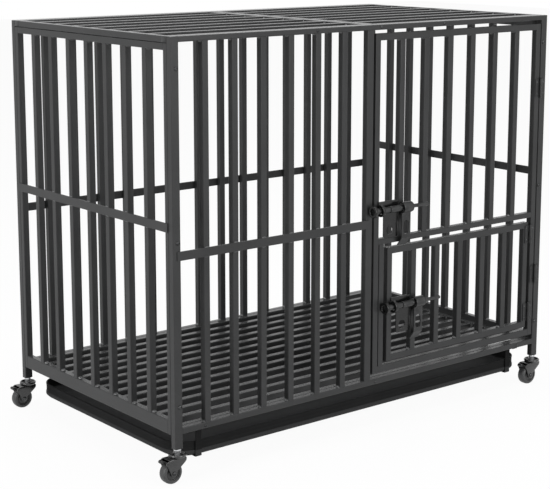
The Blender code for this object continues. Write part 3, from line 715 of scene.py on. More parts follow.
class Finish(Enum):
    """The finishes of the crate's pieces."""

    COAT = PowderCoat()
    BEAD = PowderCoat("charcoal_weld_coat", 0.045, 0.110, 0.140, 900.0, 0.22, 0.60)
    TRAY = TrayEnamel()
    # One black latch steel in two tones: the darker copy is painted shade on the rings, plate, flange and
    # hasp; the lighter copy is painted light on the rod, eye and strap.
    SHADED_LATCH = WornSteel("shaded_black_latch_steel", 0.004, 0.011, 0.20, 0.16)
    LIT_LATCH = WornSteel("lit_latch_steel", 0.022, 0.060, 0.60, 0.22)
    SHEET = WornSteel("black_caster_steel", 0.012, 0.026, 0.30, 0.20, 0.6)
    HINGE = WornSteel("black_hinge_steel", 0.018, 0.034, 0.45, 0.34)
    BRIGHT = WornSteel("bright_zinc", 0.62, 0.80, 0.85, 0.24)
    DULL = WornSteel("dull_zinc", 0.03, 0.09, 1.0, 0.22)
    TYRE = Moulded("grey_tyre", 0.026, 0.044, 0.42, 1100.0)
    HUB = Moulded("dark_hub", 0.016, 0.028, 0.34, 900.0)
    PEDAL = Moulded("black_pedal", 0.010, 0.020, 0.30, 800.0)


class Workshop:
    """Turns forms into pieces of the crate."""

    def __init__(self) -> None:
        """Starts with no materials made."""
        self.materials: dict[Finish, bpy.types.Material] = {}

    def material(self, finish: Finish) -> bpy.types.Material:
        """The one material of a finish, made when it is first asked for.

        Args:
            finish: the finish.

        Returns:
            Its material.
        """
        if finish not in self.materials:
            self.materials[finish] = finish.value.build()
        return self.materials[finish]

    def piece(
        self,
        name: str,
        form: Form,
        body: str,
        slot: str,
        finish: Finish,
        node: str = "",
        wall: float = 0.0,
    ) -> bpy.types.Object:
        """Makes a form a mesh that rides on a body.

        Args:
            name: the piece's name.
            form: its surface, about the panels' middle.
            body: the body that it moves with.
            slot: the name of a material slot; not used.
            finish: its finish.
            node: the solid that it stands for, if any.
            wall: thickness given to an open sheet, about its middle.

        Returns:
            The object.
        """
        mesh = bpy.data.meshes.new(name)
        mesh.from_pydata((form.points + PANEL_MIDDLE).tolist(), [], form.faces)
        self.tidy(mesh)
        obj = bpy.data.objects.new(name, mesh)
        bpy.context.scene.collection.objects.link(obj)
        if wall:
            self.thicken(obj, wall)
        mesh.materials.append(self.material(finish))
        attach(obj, body)
        if node:
            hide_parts(node)
        LOG.info("%s: %d faces on %s", name, len(mesh.polygons), body)
        return obj

    @staticmethod
    def thicken(obj: bpy.types.Object, wall: float, rim: float = 0.0007) -> None:
        """Gives an open sheet its thickness and bevels its edges.

        Args:
            obj: the sheet.
            wall: its thickness, about its middle.
            rim: width of the bevel.
        """
        solid = obj.modifiers.new("wall", "SOLIDIFY")
        solid.thickness = wall
        solid.offset = 0.0
        bevel = obj.modifiers.new("rim", "BEVEL")
        bevel.width = rim
        bevel.segments = 2
        bevel.limit_method = "ANGLE"
        bevel.angle_limit = math.radians(50)

    @staticmethod
    def tidy(mesh: bpy.types.Mesh) -> None:
        """Merges doubles, turns the faces outwards and keeps the real edges sharp.

        Args:
            mesh: the mesh, which is changed in place.
        """
        bm = bmesh.new()
        bm.from_mesh(mesh)
        bmesh.ops.remove_doubles(bm, verts=bm.verts, dist=MERGE)
        bmesh.ops.recalc_face_normals(bm, faces=bm.faces)
        bm.to_mesh(mesh)
        bm.free()
        mesh.shade_smooth()
        mesh.set_sharp_from_angle(angle=SHARP)


# The welded grilles


class Plane(Enum):
    """The crate axes that a grille's across, along and through directions lie on."""

    UPRIGHT = (0, 2, 1)
    ENDWISE = (1, 2, 0)
    LEVEL = (1, 0, 2)


@dataclass
class Grille:
    """A barred panel, built up bar by bar in its own plane.

    Attributes:
        plane: how the panel lies in the crate.
        middle: where its middle plane lies on the through axis.
        depth: its thickness.
        bead: leg of the weld beads at the bars' ends.
        strip_bead: leg of the weld beads along a strip.
    """

    plane: Plane
    middle: float
    depth: float = TUBE
    bead: float = 0.0036
    strip_bead: float = 0.0020

    def __post_init__(self) -> None:
        """Starts with no bars."""
        self.forms: list[Form] = []
        self.beads: list[Form] = []

    def bars(self, centres: Iterable[float], low: float, high: float, width: float = TUBE) -> None:
        """Adds bars along the panel, whose ends run a little way into the rails.

        Args:
            centres: where the bars' middles lie across the panel.
            low: where the bars start.
            high: where they end.
            width: their width.
        """
        for centre in centres:
            start, end = (centre, low - OVERLAP, self.middle), (centre, high + OVERLAP, self.middle)
            self.forms.append(tube(start, end, width, self.depth, (1, 0, 0)).laid(self.plane.value))

    def stiles(self, centres: Iterable[float], low: float, high: float, width: float = TUBE) -> None:
        """Adds the panel's outer bars, which have free ends."""
        self.bars(centres, low + OVERLAP, high - OVERLAP, width)

    def rails(self, spans: Iterable[Pair], low: float, high: float) -> None:
        """Adds rails across the panel, whose ends run a little way into the stiles.

        Args:
            spans: the lower and the upper edge of each rail.
            low: where the rails start.
            high: where they end.
        """
        for bottom, top in spans:
            centre = (bottom + top) / 2
            start, end = (low - OVERLAP, centre, self.middle), (high + OVERLAP, centre, self.middle)
            self.forms.append(tube(start, end, top - bottom, self.depth, (0, 1, 0)).laid(self.plane.value))

    def welded_bars(self, centres: Iterable[float], low: float, high: float, width: float = TUBE) -> None:
        """Adds bars, and a weld bead in each corner between them and the rails at their ends.

        Args:
            centres: where the bars' middles lie across the panel.
            low: where the bars start.
            high: where they end.
            width: their width.
        """
        self.bars(centres, low, high, width)
        reach = self.depth / 2 - 0.0016
        span = (self.middle - reach, self.middle + reach)
        for centre in centres:
            for side in (-1, 1):
                for edge, way in ((low, 1), (high, -1)):
                    corner = (centre + side * width / 2, edge)
                    form = self._bead(corner, (side, 0), (0, way), span, self.bead)
                    self.beads.append(form.laid(self.plane.value))

    def strip(self, edge: float, low: float, high: float, side: int, centres: Iterable[float]) -> None:
        """Adds a flat strip across the bars, with a bead along both its edges at each bar.

        Args:
            edge: height of the strip's lower edge.
            low: where the strip starts.
            high: where it ends.
            side: the face that it lies on, -1 or 1.
            centres: the middles of the bars that it is welded to.
        """
        middle = self.middle + side * (self.depth / 2 + STRIP_PROUD)
        centre = edge + STRIP_WIDTH / 2
        start, end = (low, centre, middle), (high, centre, middle)
        form = tube(start, end, STRIP_WIDTH, STRIP_THICK, (0, 1, 0), STRIP_EDGE)
        self.forms.append(form.laid(self.plane.value))
        face = self.middle + side * self.depth / 2
        across, along, through = self.plane.value
        reach = TUBE / 2 - 0.0022
        for bar in centres:
            span = (bar - reach, bar + reach)
            for level, way in ((edge, -1), (edge + STRIP_WIDTH, 1)):
                form = self._bead((level, face), (way, 0), (0, side), span, self.strip_bead)
                self.beads.append(form.laid((along, through, across)))

    @staticmethod
    def _bead(corner: Pair, first: Pair, second: Pair, span: Pair, leg: float) -> Form:
        """A weld bead in the corner between two faces.

        Its section is a line between the ends of the two legs that sags towards the corner, by
        0.62 t (1 - t) at part t of the way, closed by one point inside the corner. The legs swell
        by about a tenth along the bead, as a sine of its length, and fade out at its two ends.

        Args:
            corner: where the two faces meet, in the section's plane.
            first: unit direction of the first leg.
            second: unit direction of the second.
            span: where the bead starts and ends.
            leg: length of the legs.

        Returns:
            The closed bead.
        """
        stations = 9
        first, second = np.asarray(first, float), np.asarray(second, float)
        t = np.linspace(0.0, 1.0, 6)[:, None]
        line = ((1 - t) * first + t * second) * (1 - 0.62 * t * (1 - t))
        section = np.vstack([line, [-0.25 * (first + second)]])
        ripple = 1 + 0.12 * np.sin(np.linspace(0.0, 5 * math.pi, stations))
        fade = np.clip(1.6 * np.sin(np.linspace(0.12, 3.02, stations)), 0.0, 1.0)
        legs = (leg * ripple * fade)[:, None, None]
        return stacked(np.asarray(corner, float) + legs * section[None], np.linspace(*span, stations))

    def build(self, shop: Workshop, node: str, body: str) -> None:
        """Makes the panel's bars one piece, which stands for a solid, and its welds another.

        Args:
            shop: where pieces are made.
            node: the solid that the panel stands for.
            body: the body that it moves with.
        """
        slot = "panel_powder_coat"
        shop.piece(f"{node}_bars", Form.joined(self.forms), body, slot, Finish.COAT, node)
        shop.piece(f"{node}_welds", Form.joined(self.beads), body, slot, Finish.BEAD)


def even(low: float, high: float, count: int) -> Array:
    """Centres that divide the stretch between two centre lines evenly."""
    return np.linspace(low, high, count + 2)[1:-1]


def pitched(count: int, pitch: float) -> Array:
    """Centres at a steady pitch about zero."""
    return (np.arange(count) - (count - 1) / 2) * pitch


@dataclass
class Body:
    """The fixed crate: front, back, two ends, two halves of roof and the floor grate.

    Attributes:
        shop: where pieces are made.
        post_middle: X of the corner posts.
        rail: lower and upper edge of the bottom rails.
        top_rail: lower and upper edge of the top rails.
        jamb: X of the post that the main door shuts against.
        jamb_play: how far short of the jamb's middle the front strip ends.
        front_bars: bars on the left of the jamb.
        back_bars: bars of the back.
        strip_end: half length of the long strips.
        front_strip: lower edge of the front strip.
        back_strip: lower edge of the back strip.
        side_strip: lower edge of the ends' strips.
        side_strip_end: half length of the ends' strips.
        side_rails: lower and upper edge of the ends' rails.
        side_stile: width of the ends' stiles.
        side_pitch: pitch of the ends' bars.
        side_bars: bars of each end.
        level_thick: thickness of the roof and the floor.
        roof_pitch: pitch of the roof's bars.
        roof_bars: bars of each half of the roof.
        roof_rail: width of the roof's long rails.
        seam: half the gap between the roof's halves.
        floor_bars: bars of the floor.
        floor_bar: their width.
        floor_end: half length of the floor.
    """

    shop: Workshop
    post_middle: float = HALF_LENGTH - POST_WIDTH / 2
    rail: Pair = (0.033, 0.047)
    top_rail: Pair = (0.888, BODY_HEIGHT)
    jamb: float = -0.023
    jamb_play: float = 0.002
    front_bars: int = 6
    back_bars: int = 14
    strip_end: float = HALF_LENGTH - 0.010
    front_strip: float = 0.4215
    back_strip: float = 0.4250
    side_strip: float = 0.4820
    side_strip_end: float = SIDE_HALF_DEPTH - 0.001
    side_rails: tuple[Pair, Pair] = ((0.030, 0.062), (0.870, 0.885))
    side_stile: float = 0.013
    side_pitch: float = 0.079
    side_bars: int = 7
    level_thick: float = 0.014
    roof_pitch: float = 0.0782
    roof_bars: int = 7
    roof_rail: float = 0.020
    seam: float = 0.0008
    floor_bars: int = 12
    floor_bar: float = 0.017
    floor_end: float = HALF_LENGTH - TUBE - 0.0004

    def upright_frame(self, side: int, centres: Array) -> Grille:
        """Posts, rails and bars of the front or the back.

        Args:
            side: -1 for the front, 1 for the back.
            centres: the bars' middles.

        Returns:
            The unfinished grille.
        """
        grille = Grille(Plane.UPRIGHT, side * (HALF_DEPTH - TUBE / 2))
        grille.stiles((-self.post_middle, self.post_middle), 0.0, BODY_HEIGHT, POST_WIDTH)
        grille.rails((self.rail, self.top_rail), -POST_INNER, POST_INNER)
        grille.welded_bars(centres, self.rail[1], self.top_rail[0])
        return grille

    def front(self) -> None:
        """The front: bars on the left of the jamb, the main door's opening on its right."""
        centres = even(-self.post_middle, self.jamb, self.front_bars)
        grille = self.upright_frame(-1, centres)
        grille.bars([self.jamb], self.rail[1], self.top_rail[0], POST_WIDTH)
        grille.strip(self.front_strip, -self.strip_end, self.jamb - self.jamb_play, -1, centres)
        grille.build(self.shop, "front_frame", "frame")

    def back(self) -> None:
        """The back, barred all the way."""
        centres = even(-self.post_middle, self.post_middle, self.back_bars)
        grille = self.upright_frame(1, centres)
        grille.strip(self.back_strip, -self.strip_end, self.strip_end, 1, centres)
        grille.build(self.shop, "back_frame", "frame")

    def end(self, name: str, side: int) -> None:
        """An end panel between the posts.

        Args:
            name: the solid that it stands for.
            side: -1 for the left end, 1 for the right.
        """
        grille = Grille(Plane.ENDWISE, side * (HALF_LENGTH - TUBE / 2))
        (bottom, low), (high, top) = self.side_rails
        stile = SIDE_HALF_DEPTH - self.side_stile / 2
        inner = SIDE_HALF_DEPTH - self.side_stile
        centres = pitched(self.side_bars, self.side_pitch)
        grille.stiles((-stile, stile), bottom, top, self.side_stile)
        grille.rails(self.side_rails, -inner, inner)
        grille.welded_bars(centres, low, high)
        grille.strip(self.side_strip, -self.side_strip_end, self.side_strip_end, side, centres)
        grille.build(self.shop, name, "frame")

    def level(
        self, name: str, top: float, ends: Pair, rail: float, centres: Array, width: float = TUBE
    ) -> None:
        """A level panel: two long rails, a rail at each end and bars lengthwise between them.

        Args:
            name: the solid that it stands for.
            top: height of its upper face.
            ends: where it starts and ends along the crate.
            rail: width of the long rails.
            centres: the bars' middles across the crate.
            width: the bars' width.
        """
        grille = Grille(Plane.LEVEL, top - self.level_thick / 2, self.level_thick)
        low, high = ends
        outer, inner = SIDE_HALF_DEPTH - rail / 2, SIDE_HALF_DEPTH - rail
        grille.stiles((-outer, outer), low, high, rail)
        grille.rails(((low, low + TUBE), (high - TUBE, high)), -inner, inner)
        grille.welded_bars(centres, low + TUBE, high - TUBE, width)
        grille.build(self.shop, name, "frame")

    def build(self) -> None:
        """Builds every fixed grille. The floor's bars have equal gaps between its long rails."""
        self.front()
        self.back()
        sides = (("left", -1), ("right", 1))
        for label, side in sides:
            self.end(f"{label}_panel", side)
        for label, side in sides:
            low, high = sorted((side * self.seam, side * HALF_LENGTH))
            centres = pitched(self.roof_bars, self.roof_pitch)
            self.level(f"top_panel_{label}", BODY_HEIGHT, (low, high), self.roof_rail, centres)
        free = 2 * (SIDE_HALF_DEPTH - TUBE) - self.floor_bars * self.floor_bar
        centres = pitched(self.floor_bars, self.floor_bar + free / (self.floor_bars + 1))
        ends = (-self.floor_end, self.floor_end)
        self.level("floor_grate", self.rail[1], ends, TUBE, centres, self.floor_bar)


@dataclass
class Doors:
    """The main door, and the feeding door in its lower opening.

    Attributes:
        shop: where pieces are made.
        main_x: the main door's two sides.
        main_rails: lower and upper edge of its three rails.
        main_bars: bars over its mid rail.
        second_stile: middle of the stile that stands beside the opening.
        feed_x: the feeding door's two sides.
        feed_rails: lower and upper edge of its two rails.
        feed_bars: its bars.
    """

    shop: Workshop
    main_x: Pair = (-0.007, 0.561)
    main_rails: tuple[Pair, Pair, Pair] = ((0.060, 0.077), (0.377, 0.391), (0.863, 0.879))
    main_bars: int = 6
    second_stile: float = 0.019
    feed_x: Pair = (0.038, 0.535)
    feed_rails: tuple[Pair, Pair] = ((0.084, 0.100), (0.350, 0.366))
    feed_bars: int = 5

    def door(self, sides: Pair, rails: Sequence[Pair], bars: int) -> Grille:
        """A door's stiles and rails, with bars between its two upper rails.

        Args:
            sides: the door's left and right side.
            rails: lower and upper edge of each rail, from the lowest up.
            bars: how many bars it has.

        Returns:
            The unfinished grille.
        """
        grille = Grille(Plane.UPRIGHT, FRONT + TUBE / 2)
        left, right = sides
        stiles = (left + TUBE / 2, right - TUBE / 2)
        grille.stiles(stiles, rails[0][0], rails[-1][1])
        grille.rails(rails, left + TUBE, right - TUBE)
        grille.welded_bars(even(*stiles, bars), rails[-2][1], rails[-1][0])
        return grille

    def build(self) -> None:
        """Builds both doors. The main door's opening has a doubled stile on its left."""
        main = self.door(self.main_x, self.main_rails, self.main_bars)
        main.bars([self.second_stile], self.main_rails[0][1], self.main_rails[1][0])
        main.build(self.shop, "main_door", "main_door")
        self.door(self.feed_x, self.feed_rails, self.feed_bars).build(self.shop, "feed_door", "feed_door")


# Ironwork


@dataclass
class Hinges:
    """Two butt hinges on each door: leaves with their screws, rolled knuckles and a pin.

    Attributes:
        shop: where pieces are made.
        y: where the pins lie.
        height: the leaves' height.
        reach: how far a leaf reaches from its pin.
        near: how far behind the pin the leaves' front faces lie.
        thick: the leaves' thickness.
        knuckle: the knuckles' outer radius.
        bore: their inner radius.
        pin: the pins' radius.
        ease: the knuckles' chamfers and the play between them.
        screw_z: how far above and below the middle the screws lie.
        main: X and the two heights of the main door's hinges.
        feed: X and the two heights of the feeding door's hinges.
    """

    shop: Workshop
    y: float = FRONT - 0.004
    height: float = 0.048
    reach: float = 0.017
    near: float = 0.0019
    thick: float = 0.0015
    knuckle: float = 0.0037
    bore: float = 0.0020
    pin: float = 0.0017
    ease: float = 0.0004
    screw_z: float = 0.0145
    main: tuple[float, float, float] = (0.5625, 0.715, 0.225)
    feed: tuple[float, float, float] = (0.540, 0.3345, 0.126)

    def leaf(self, side: int, spans: Sequence[Pair]) -> Form:
        """A leaf and its knuckles.

        Each knuckle is a turned ring about the pin, with a flat wrap that joins it to the leaf.

        Args:
            side: 1 for a leaf on the right of the pin, -1 for one on its left.
            spans: lowest and highest point of each knuckle.

        Returns:
            The leaf, about the middle of the pin.
        """
        ease, half, depth = self.ease, self.height / 2 - 0.0003, self.near + self.thick / 2
        start = self.knuckle + ease
        corners = [(start, half), (self.reach, half), (self.reach, -half), (start, -half)]
        outline = soften([(side * x, z) for x, z in corners], 0.0030)
        forms = [plate(outline, self.thick, 0.0004).laid((0, 2, 1)).moved((0, depth, 0))]
        for low, high in spans:
            ring = [(self.bore, low), (self.knuckle, low), (self.knuckle, high), (self.bore, high)]
            forms.append(turned(ring, Axis.Z, 28, closed=True, reach=ease, steps=1))
            end = side * (start + 0.002)
            wrap = [(0.0, low + ease), (end, low + ease), (end, high - ease), (0.0, high - ease)]
            forms.append(plate(np.array(wrap), self.thick, 0.0003).laid((0, 2, 1)).moved((0, depth, 0)))
        return Form.joined(forms)

    def screws(self, side: int) -> Form:
        """The two screws of a leaf, which face the front.

        Args:
            side: the leaf's side of the pin, -1 or 1.

        Returns:
            Both screws, about the middle of the pin.
        """
        head = screw_head(0.0030, 0.0011, 0.0011)
        one = turned(head, Axis.Y, 24, reach=0.0003, steps=2).laid((0, 1, 2), (1, -1, 1))
        x = side * (self.knuckle + self.reach) / 1.9
        return Form.joined([one.moved((x, self.near, z)) for z in (-self.screw_z, self.screw_z)])

    def pin_form(self) -> Form:
        """A pin with a low domed head at each end."""
        seat, rise = self.height / 2 + self.ease, 0.0012
        dome = [(0.0, seat + rise), (0.0018, seat + 0.9 * rise), (0.0027, seat + 0.5 * rise)]
        return turned(mirrored([*dome, (0.0029, seat), (self.pin, seat)]), Axis.Z, 28)

    def hinge(self, label: str, spot: Triple, holder: str, swinger: str) -> None:
        """Builds one hinge.

        Args:
            label: how its nodes' names start.
            spot: the middle of its pin.
            holder: the body of its fixed leaf, with two knuckles, and of its pin.
            swinger: the body of its door leaf, with one knuckle.
        """
        half, third = self.height / 2, self.height / 6
        outer = [(third, half), (-half, -third)]
        inner = [(-third + self.ease, third - self.ease)]
        for kind, side, spans, body in (("fixed", 1, outer, holder), ("door", -1, inner, swinger)):
            name = f"{label}_{kind}"
            leaf = self.leaf(side, spans).moved(spot)
            self.shop.piece(f"{name}_plate", leaf, body, "hinge_steel", Finish.HINGE, f"{name}_leaf")
            screws = self.screws(side).moved(spot)
            self.shop.piece(f"{name}_screws", screws, body, "fastener_zinc", Finish.DULL)
        pin = self.pin_form().moved(spot)
        self.shop.piece(f"{label}_pintle", pin, holder, "fastener_zinc", Finish.DULL, f"{label}_pin")

    def build(self) -> None:
        """Builds the four hinges."""
        for door, (x, *heights), bodies in (
            ("main", self.main, ("frame", "main_door")),
            ("feed", self.feed, ("main_door", "feed_door")),
        ):
            for level, z in zip(("upper", "lower"), heights):
                self.hinge(f"{door}_{level}_hinge", (x, self.y, z), *bodies)


def holed_sheet(
    sides: Pair,
    hole: float,
    radius: float,
    rise: float,
    ends: Pair,
    corner: float = 0.0,
    block: Pair | None = None,
) -> Form:
    """A flat sheet with a long round-ended hole, as points (across, along, 0).

    About the hole, each ring of points is (1 - t) times the hole's edge plus t times an oblong
    outline, whose points lie in the same directions from the hole's middle. The hole's edge is a
    circle whose upper half is moved up by the rise and whose lower half is moved down by it.
    Plain rows that repeat the outline's first and last points carry the sheet on at both ends.

    Args:
        sides: the sheet's two sides, from the hole's middle.
        hole: how far along the hole's middle lies.
        radius: half the hole's width.
        rise: how much longer each half of the hole is than the radius.
        ends: where the sheet starts and ends.
        corner: radius of the two last corners, if the outline ends with the sheet.
        block: where the outline starts and ends, if the sheet goes on behind it.

    Returns:
        The open sheet.
    """
    count, (left, right), (top, tail) = 17, sides, ends
    start, low = block or (hole - rise - 1.6 * radius, tail)
    across, down = np.linspace(left, right, count), np.linspace(start, low, count)
    around = [(across, start), (right, down), (across[::-1], low), (left, down[::-1])]
    outline = np.vstack([np.stack(np.broadcast_arrays(x, y), axis=1)[:-1] for x, y in around])
    if corner:
        inner = np.clip(outline, [left + corner, start], [right - corner, low - corner])
        away = outline - inner
        far = np.linalg.norm(away, axis=1, keepdims=True) > corner
        outline = np.where(far, inner + unit(away) * corner, outline)
    ray = unit(outline - (0.0, hole))
    edge = np.array([0.0, hole]) + ray * radius + np.sign(ray[:, 1:]) * (0.0, rise)
    t = np.array([0.0, 0.12, 0.5, 1.0])[:, None, None]
    flat = (1 - t) * edge + t * outline
    forms = [Form.grid(np.concatenate([flat, np.zeros((*flat.shape[:2], 1))], axis=2))]
    for first, last, rows in [(top, start, 60)] + ([(low, tail, 24)] if block else []):
        along = np.linspace(first, last, rows)
        plain = np.stack(np.broadcast_arrays(across[None, :], along[:, None], 0.0), axis=-1)
        forms.append(Form.grid(plain, around=False))
    return Form.joined(forms)


@dataclass
class SlideBolt:
    """One slide bolt: keeper ring, guide ring with its plate, rod, hasp and bent strap.

    Attributes:
        shop: where pieces are made.
        level: upper or lower.
        height: height of the bolt's axis.
        guide: X of the guide ring's middle. Other places along the bolt are from here.
        keeper: X of the keeper ring's middle.
        bodies: what the keeper, the door's own pieces, the rod and the hasp ride on.
        y: where the bolt's axis lies.
        radius: the rod's thick parts.
        neck: the rod's neck, which the hasp's eye turns on.
        tail: the rod's thin end.
        ring: the rings' inner and outer radius.
        ring_width: the rings' width.
        tip: how far past the keeper's middle the rod starts.
        body_end: where the rod's thick body ends.
        tail_end: where its tail ends.
        neck_span: where its neck starts and ends.
        back_plate: span of the plate behind the bolt along X, Y and Z.
        hasp_span: the hasp's two sides.
        hasp_depth: how far behind the axis the hasp hangs.
        hasp_hole: where its hole lies along the bolt and below it.
        hasp_hole_radius: that hole's radius.
        hasp_ends: where the hasp's plate starts and ends, below the axis.
        strap_span: the strap's two sides.
        strap_middle: radius of the strap's middle line about the bolt.
        strap_turn: degrees that it goes round the bolt.
        back_leg: length of its back leg.
        leg: where its front leg lies from the axis.
        leg_top: how far below the axis its front leg starts.
        into_leg: length of the straight stretch from the arc to the front leg.
        knee: how far below the axis the front leg turns back to the door.
        strap_low: how far below the axis the strap ends.
        strap_reach: how far along the sheet it ends, from the axis's height in the front leg.
        slot: how far below the axis its padlock hole lies.
        slot_radius: half the hole's width.
        slot_block: half the length of the sheet's part that is drawn about the hole.
        sheet: thickness of the hasp and the strap.
        flange: the strap flange's inner and outer radius.
    """

    shop: Workshop
    level: str
    height: float
    guide: float
    keeper: float
    bodies: tuple[str, str, str, str]
    y: float = FRONT - 0.0150
    radius: float = 0.007
    neck: float = 0.0045
    tail: float = 0.0045
    ring: Pair = (0.0083, 0.0146)
    ring_width: float = 0.008
    tip: float = 0.005
    body_end: float = 0.104
    tail_end: float = 0.156
    neck_span: Pair = (0.0264, 0.0578)
    back_plate: tuple[Pair, Pair, Pair] = ((0.0030, 0.0655), (0.0118, 0.0146), (0.0022, 0.0188))
    hasp_span: Pair = (0.0155, 0.062)
    hasp_depth: float = 0.0089
    hasp_hole: Pair = (0.035, 0.051)
    hasp_hole_radius: float = 0.0105
    hasp_ends: Pair = (-0.0018, 0.0698)
    strap_span: Pair = (0.066, 0.094)
    strap_middle: float = 0.0119
    strap_turn: float = 232.0
    back_leg: float = 0.0218
    leg: float = -0.0010
    leg_top: float = 0.0126
    into_leg: float = 0.0073
    knee: float = 0.0740
    strap_low: float = 0.0932
    strap_reach: float = 0.0980
    slot: float = 0.047
    slot_radius: float = 0.0085
    slot_block: float = 0.0230
    sheet: float = 0.003
    flange: Pair = (0.0076, 0.0126)

    def about_bolt(self, radii: Pair, span: Pair, x: float, reach: float) -> Form:
        """A turned ring about the bolt's axis, with its edges rounded.

        Args:
            radii: its inner and outer radius.
            span: its right and left face, from its middle.
            x: where its middle lies along the bolt.
            reach: how far from an edge the rounding starts.

        Returns:
            The ring in its place.
        """
        (inner, outer), (right, left) = radii, span
        section = [(inner, right), (outer, right), (outer, left), (inner, left)]
        ring = turned(section, Axis.X, 56, closed=True, reach=reach)
        return ring.moved((self.guide + x, self.y, self.height))

    def ring_form(self, x: float) -> Form:
        """A turned ring with round rims, on a short foot that runs back to the tube.

        Args:
            x: where its middle lies.

        Returns:
            The ring and its foot.
        """
        half = self.ring_width / 2
        ring = self.about_bolt(self.ring, (half, -half), x - self.guide, 0.0016)
        start, end = ((x, y, self.height) for y in (self.y + self.ring[0] + 0.0012, FRONT - 0.0002))
        return Form.joined([ring, tube(start, end, self.ring_width - 0.002, 0.014, (1, 0, 0), 0.0012)])

    def plate_form(self) -> Form:
        """The plate behind the bolt, which reaches from the guide ring to the strap."""
        sizes = [high - low for low, high in self.back_plate]
        middle = [(low + high) / 2 for low, high in self.back_plate]
        form = plate(rounded_rectangle(sizes[0], sizes[2], 0.0015), sizes[1], 0.0005).laid((0, 2, 1))
        return form.moved((self.guide + middle[0], self.y + middle[1], self.height + middle[2]))

    def rod_form(self) -> Form:
        """The rod: thick head, neck, thick body and thin round-ended tail, its edges broken."""
        start, end = self.neck_span
        tip = self.keeper + self.tip - self.guide
        thick, thin = self.radius, self.neck
        tail = arc((0.0, self.tail_end - self.tail), self.tail, 90.0, 0.0, 6)
        shoulder = [(self.tail, self.body_end + 0.0008), (self.tail + 0.0010, self.body_end)]
        body = [(thick, self.body_end), (thick, end), (thin, end), (thin, start), (thick, start)]
        line = soften([tail[-1], *shoulder, *body, (thick, tip), (0.0, tip)], 0.0009, closed=False)
        return turned(np.vstack([tail[:-1], line]), Axis.X, 48).moved((self.guide, self.y, self.height))

    def hasp_form(self) -> Form:
        """The hasp's flat plate, behind the bolt."""
        across, along = self.hasp_hole
        sides = (self.hasp_span[0] - across, self.hasp_span[1] - across)
        sheet = holed_sheet(sides, along, self.hasp_hole_radius, 0.0, self.hasp_ends, corner=0.006)
        place = (self.guide + across, self.y + self.hasp_depth, self.height)
        return sheet.laid((0, 2, 1), (1, -1, 1)).moved(place)

    def eye_form(self) -> Form:
        """The hasp's rolled eye about the neck."""
        start, end = self.neck_span
        radii = (self.neck + 0.0004, self.radius + 0.0011)
        half = (end - start) / 2 - 0.0007
        return self.about_bolt(radii, (half, -half), (start + end) / 2, 0.0010)

    def strap_line(self) -> Array:
        """The strap's bent line, in Y and Z about the bolt's axis.

        It goes up the back leg, over the bolt as an arc, in below it, down the front leg, and back
        to the door below the knee.
        """
        over = arc((0.0, 0.0), self.strap_middle, 0.0, self.strap_turn, 34)
        into = [tuple(over[-1]), (self.leg, -self.leg_top), (self.leg, -0.0210)]
        foot = (FRONT - self.y - self.sheet / 2 - 0.0003, -self.strap_low)
        knee = [(self.leg, -0.0600), (self.leg, -self.knee), foot]
        below, last = soften(into, 0.0030, 5, closed=False), soften(knee, 0.0020, 5, closed=False)
        return np.vstack([[(self.strap_middle, -self.back_leg)], over, below[1:], last])

    def bend(self, points: Array) -> Array:
        """Lays the strap's flat sheet along its bent line.

        A point at distance s along the sheet goes to the place at distance s along the line.

        Args:
            points: points of the flat sheet, as (across, along, 0).

        Returns:
            The bent sheet's points.
        """
        line = self.strap_line()
        steps = np.concatenate([[0.0], np.cumsum(np.linalg.norm(np.diff(line, axis=0), axis=1))])
        y, z = (np.interp(points[:, 1], steps, line[:, axis]) for axis in (0, 1))
        return np.stack([points[:, 0], y, z], axis=1)

    def strap_form(self) -> Form:
        """The strap's bent sheet, with a long padlock hole in its front leg.

        The front leg's distances along the sheet start at the height of the bolt's axis.
        """
        half = (self.strap_span[1] - self.strap_span[0]) / 2
        turn = self.strap_middle * math.radians(self.strap_turn)
        axis_level = self.back_leg + turn + self.into_leg - self.leg_top
        hole = axis_level + self.slot
        block = (hole - self.slot_block, hole + self.slot_block)
        ends = (0.0, axis_level + self.strap_reach)
        sheet = holed_sheet((-half, half), hole, self.slot_radius, self.slot_radius, ends, block=block)
        return sheet.mapped(self.bend).moved((self.guide + sum(self.strap_span) / 2, self.y, self.height))

    def flange_form(self) -> Form:
        """The round flange at the strap's end, through which the rod's tail comes out."""
        return self.about_bolt(self.flange, (0.0025, -0.0014), self.strap_span[1] + 0.0010, 0.0010)

    def build(self) -> None:
        """Builds the bolt's pieces. Each row has a piece's name, form, body, finish, solid and wall."""
        holder, door, rod, hasp = self.bodies
        label = f"{self.level}_bolt"
        guide = Form.joined([self.ring_form(self.guide), self.plate_form()])
        # Painted light and shade: parts in the rod's shade take the darker latch steel, and the lit rod,
        # eye and strap take the lighter one.
        for name, form, body, finish, node, wall in (
            ("keeper_ring", self.ring_form(self.keeper), holder, Finish.SHADED_LATCH, "keeper", 0.0),
            ("guide_ring", guide, door, Finish.SHADED_LATCH, "guide", 0.0),
            ("shaft", self.rod_form(), rod, Finish.LIT_LATCH, "rod", 0.0),
            ("hasp_eye", self.eye_form(), hasp, Finish.LIT_LATCH, "", 0.0),
            ("strap_flange", self.flange_form(), door, Finish.SHADED_LATCH, "", 0.0),
            ("hasp_plate", self.hasp_form(), hasp, Finish.SHADED_LATCH, "hasp", self.sheet),
            ("bent_strap", self.strap_form(), door, Finish.LIT_LATCH, "strap", self.sheet),
        ):
            solid = f"{label}_{node}" if node else ""
            self.shop.piece(f"{label}_{name}", form, body, "bolt_steel", finish, solid, wall)


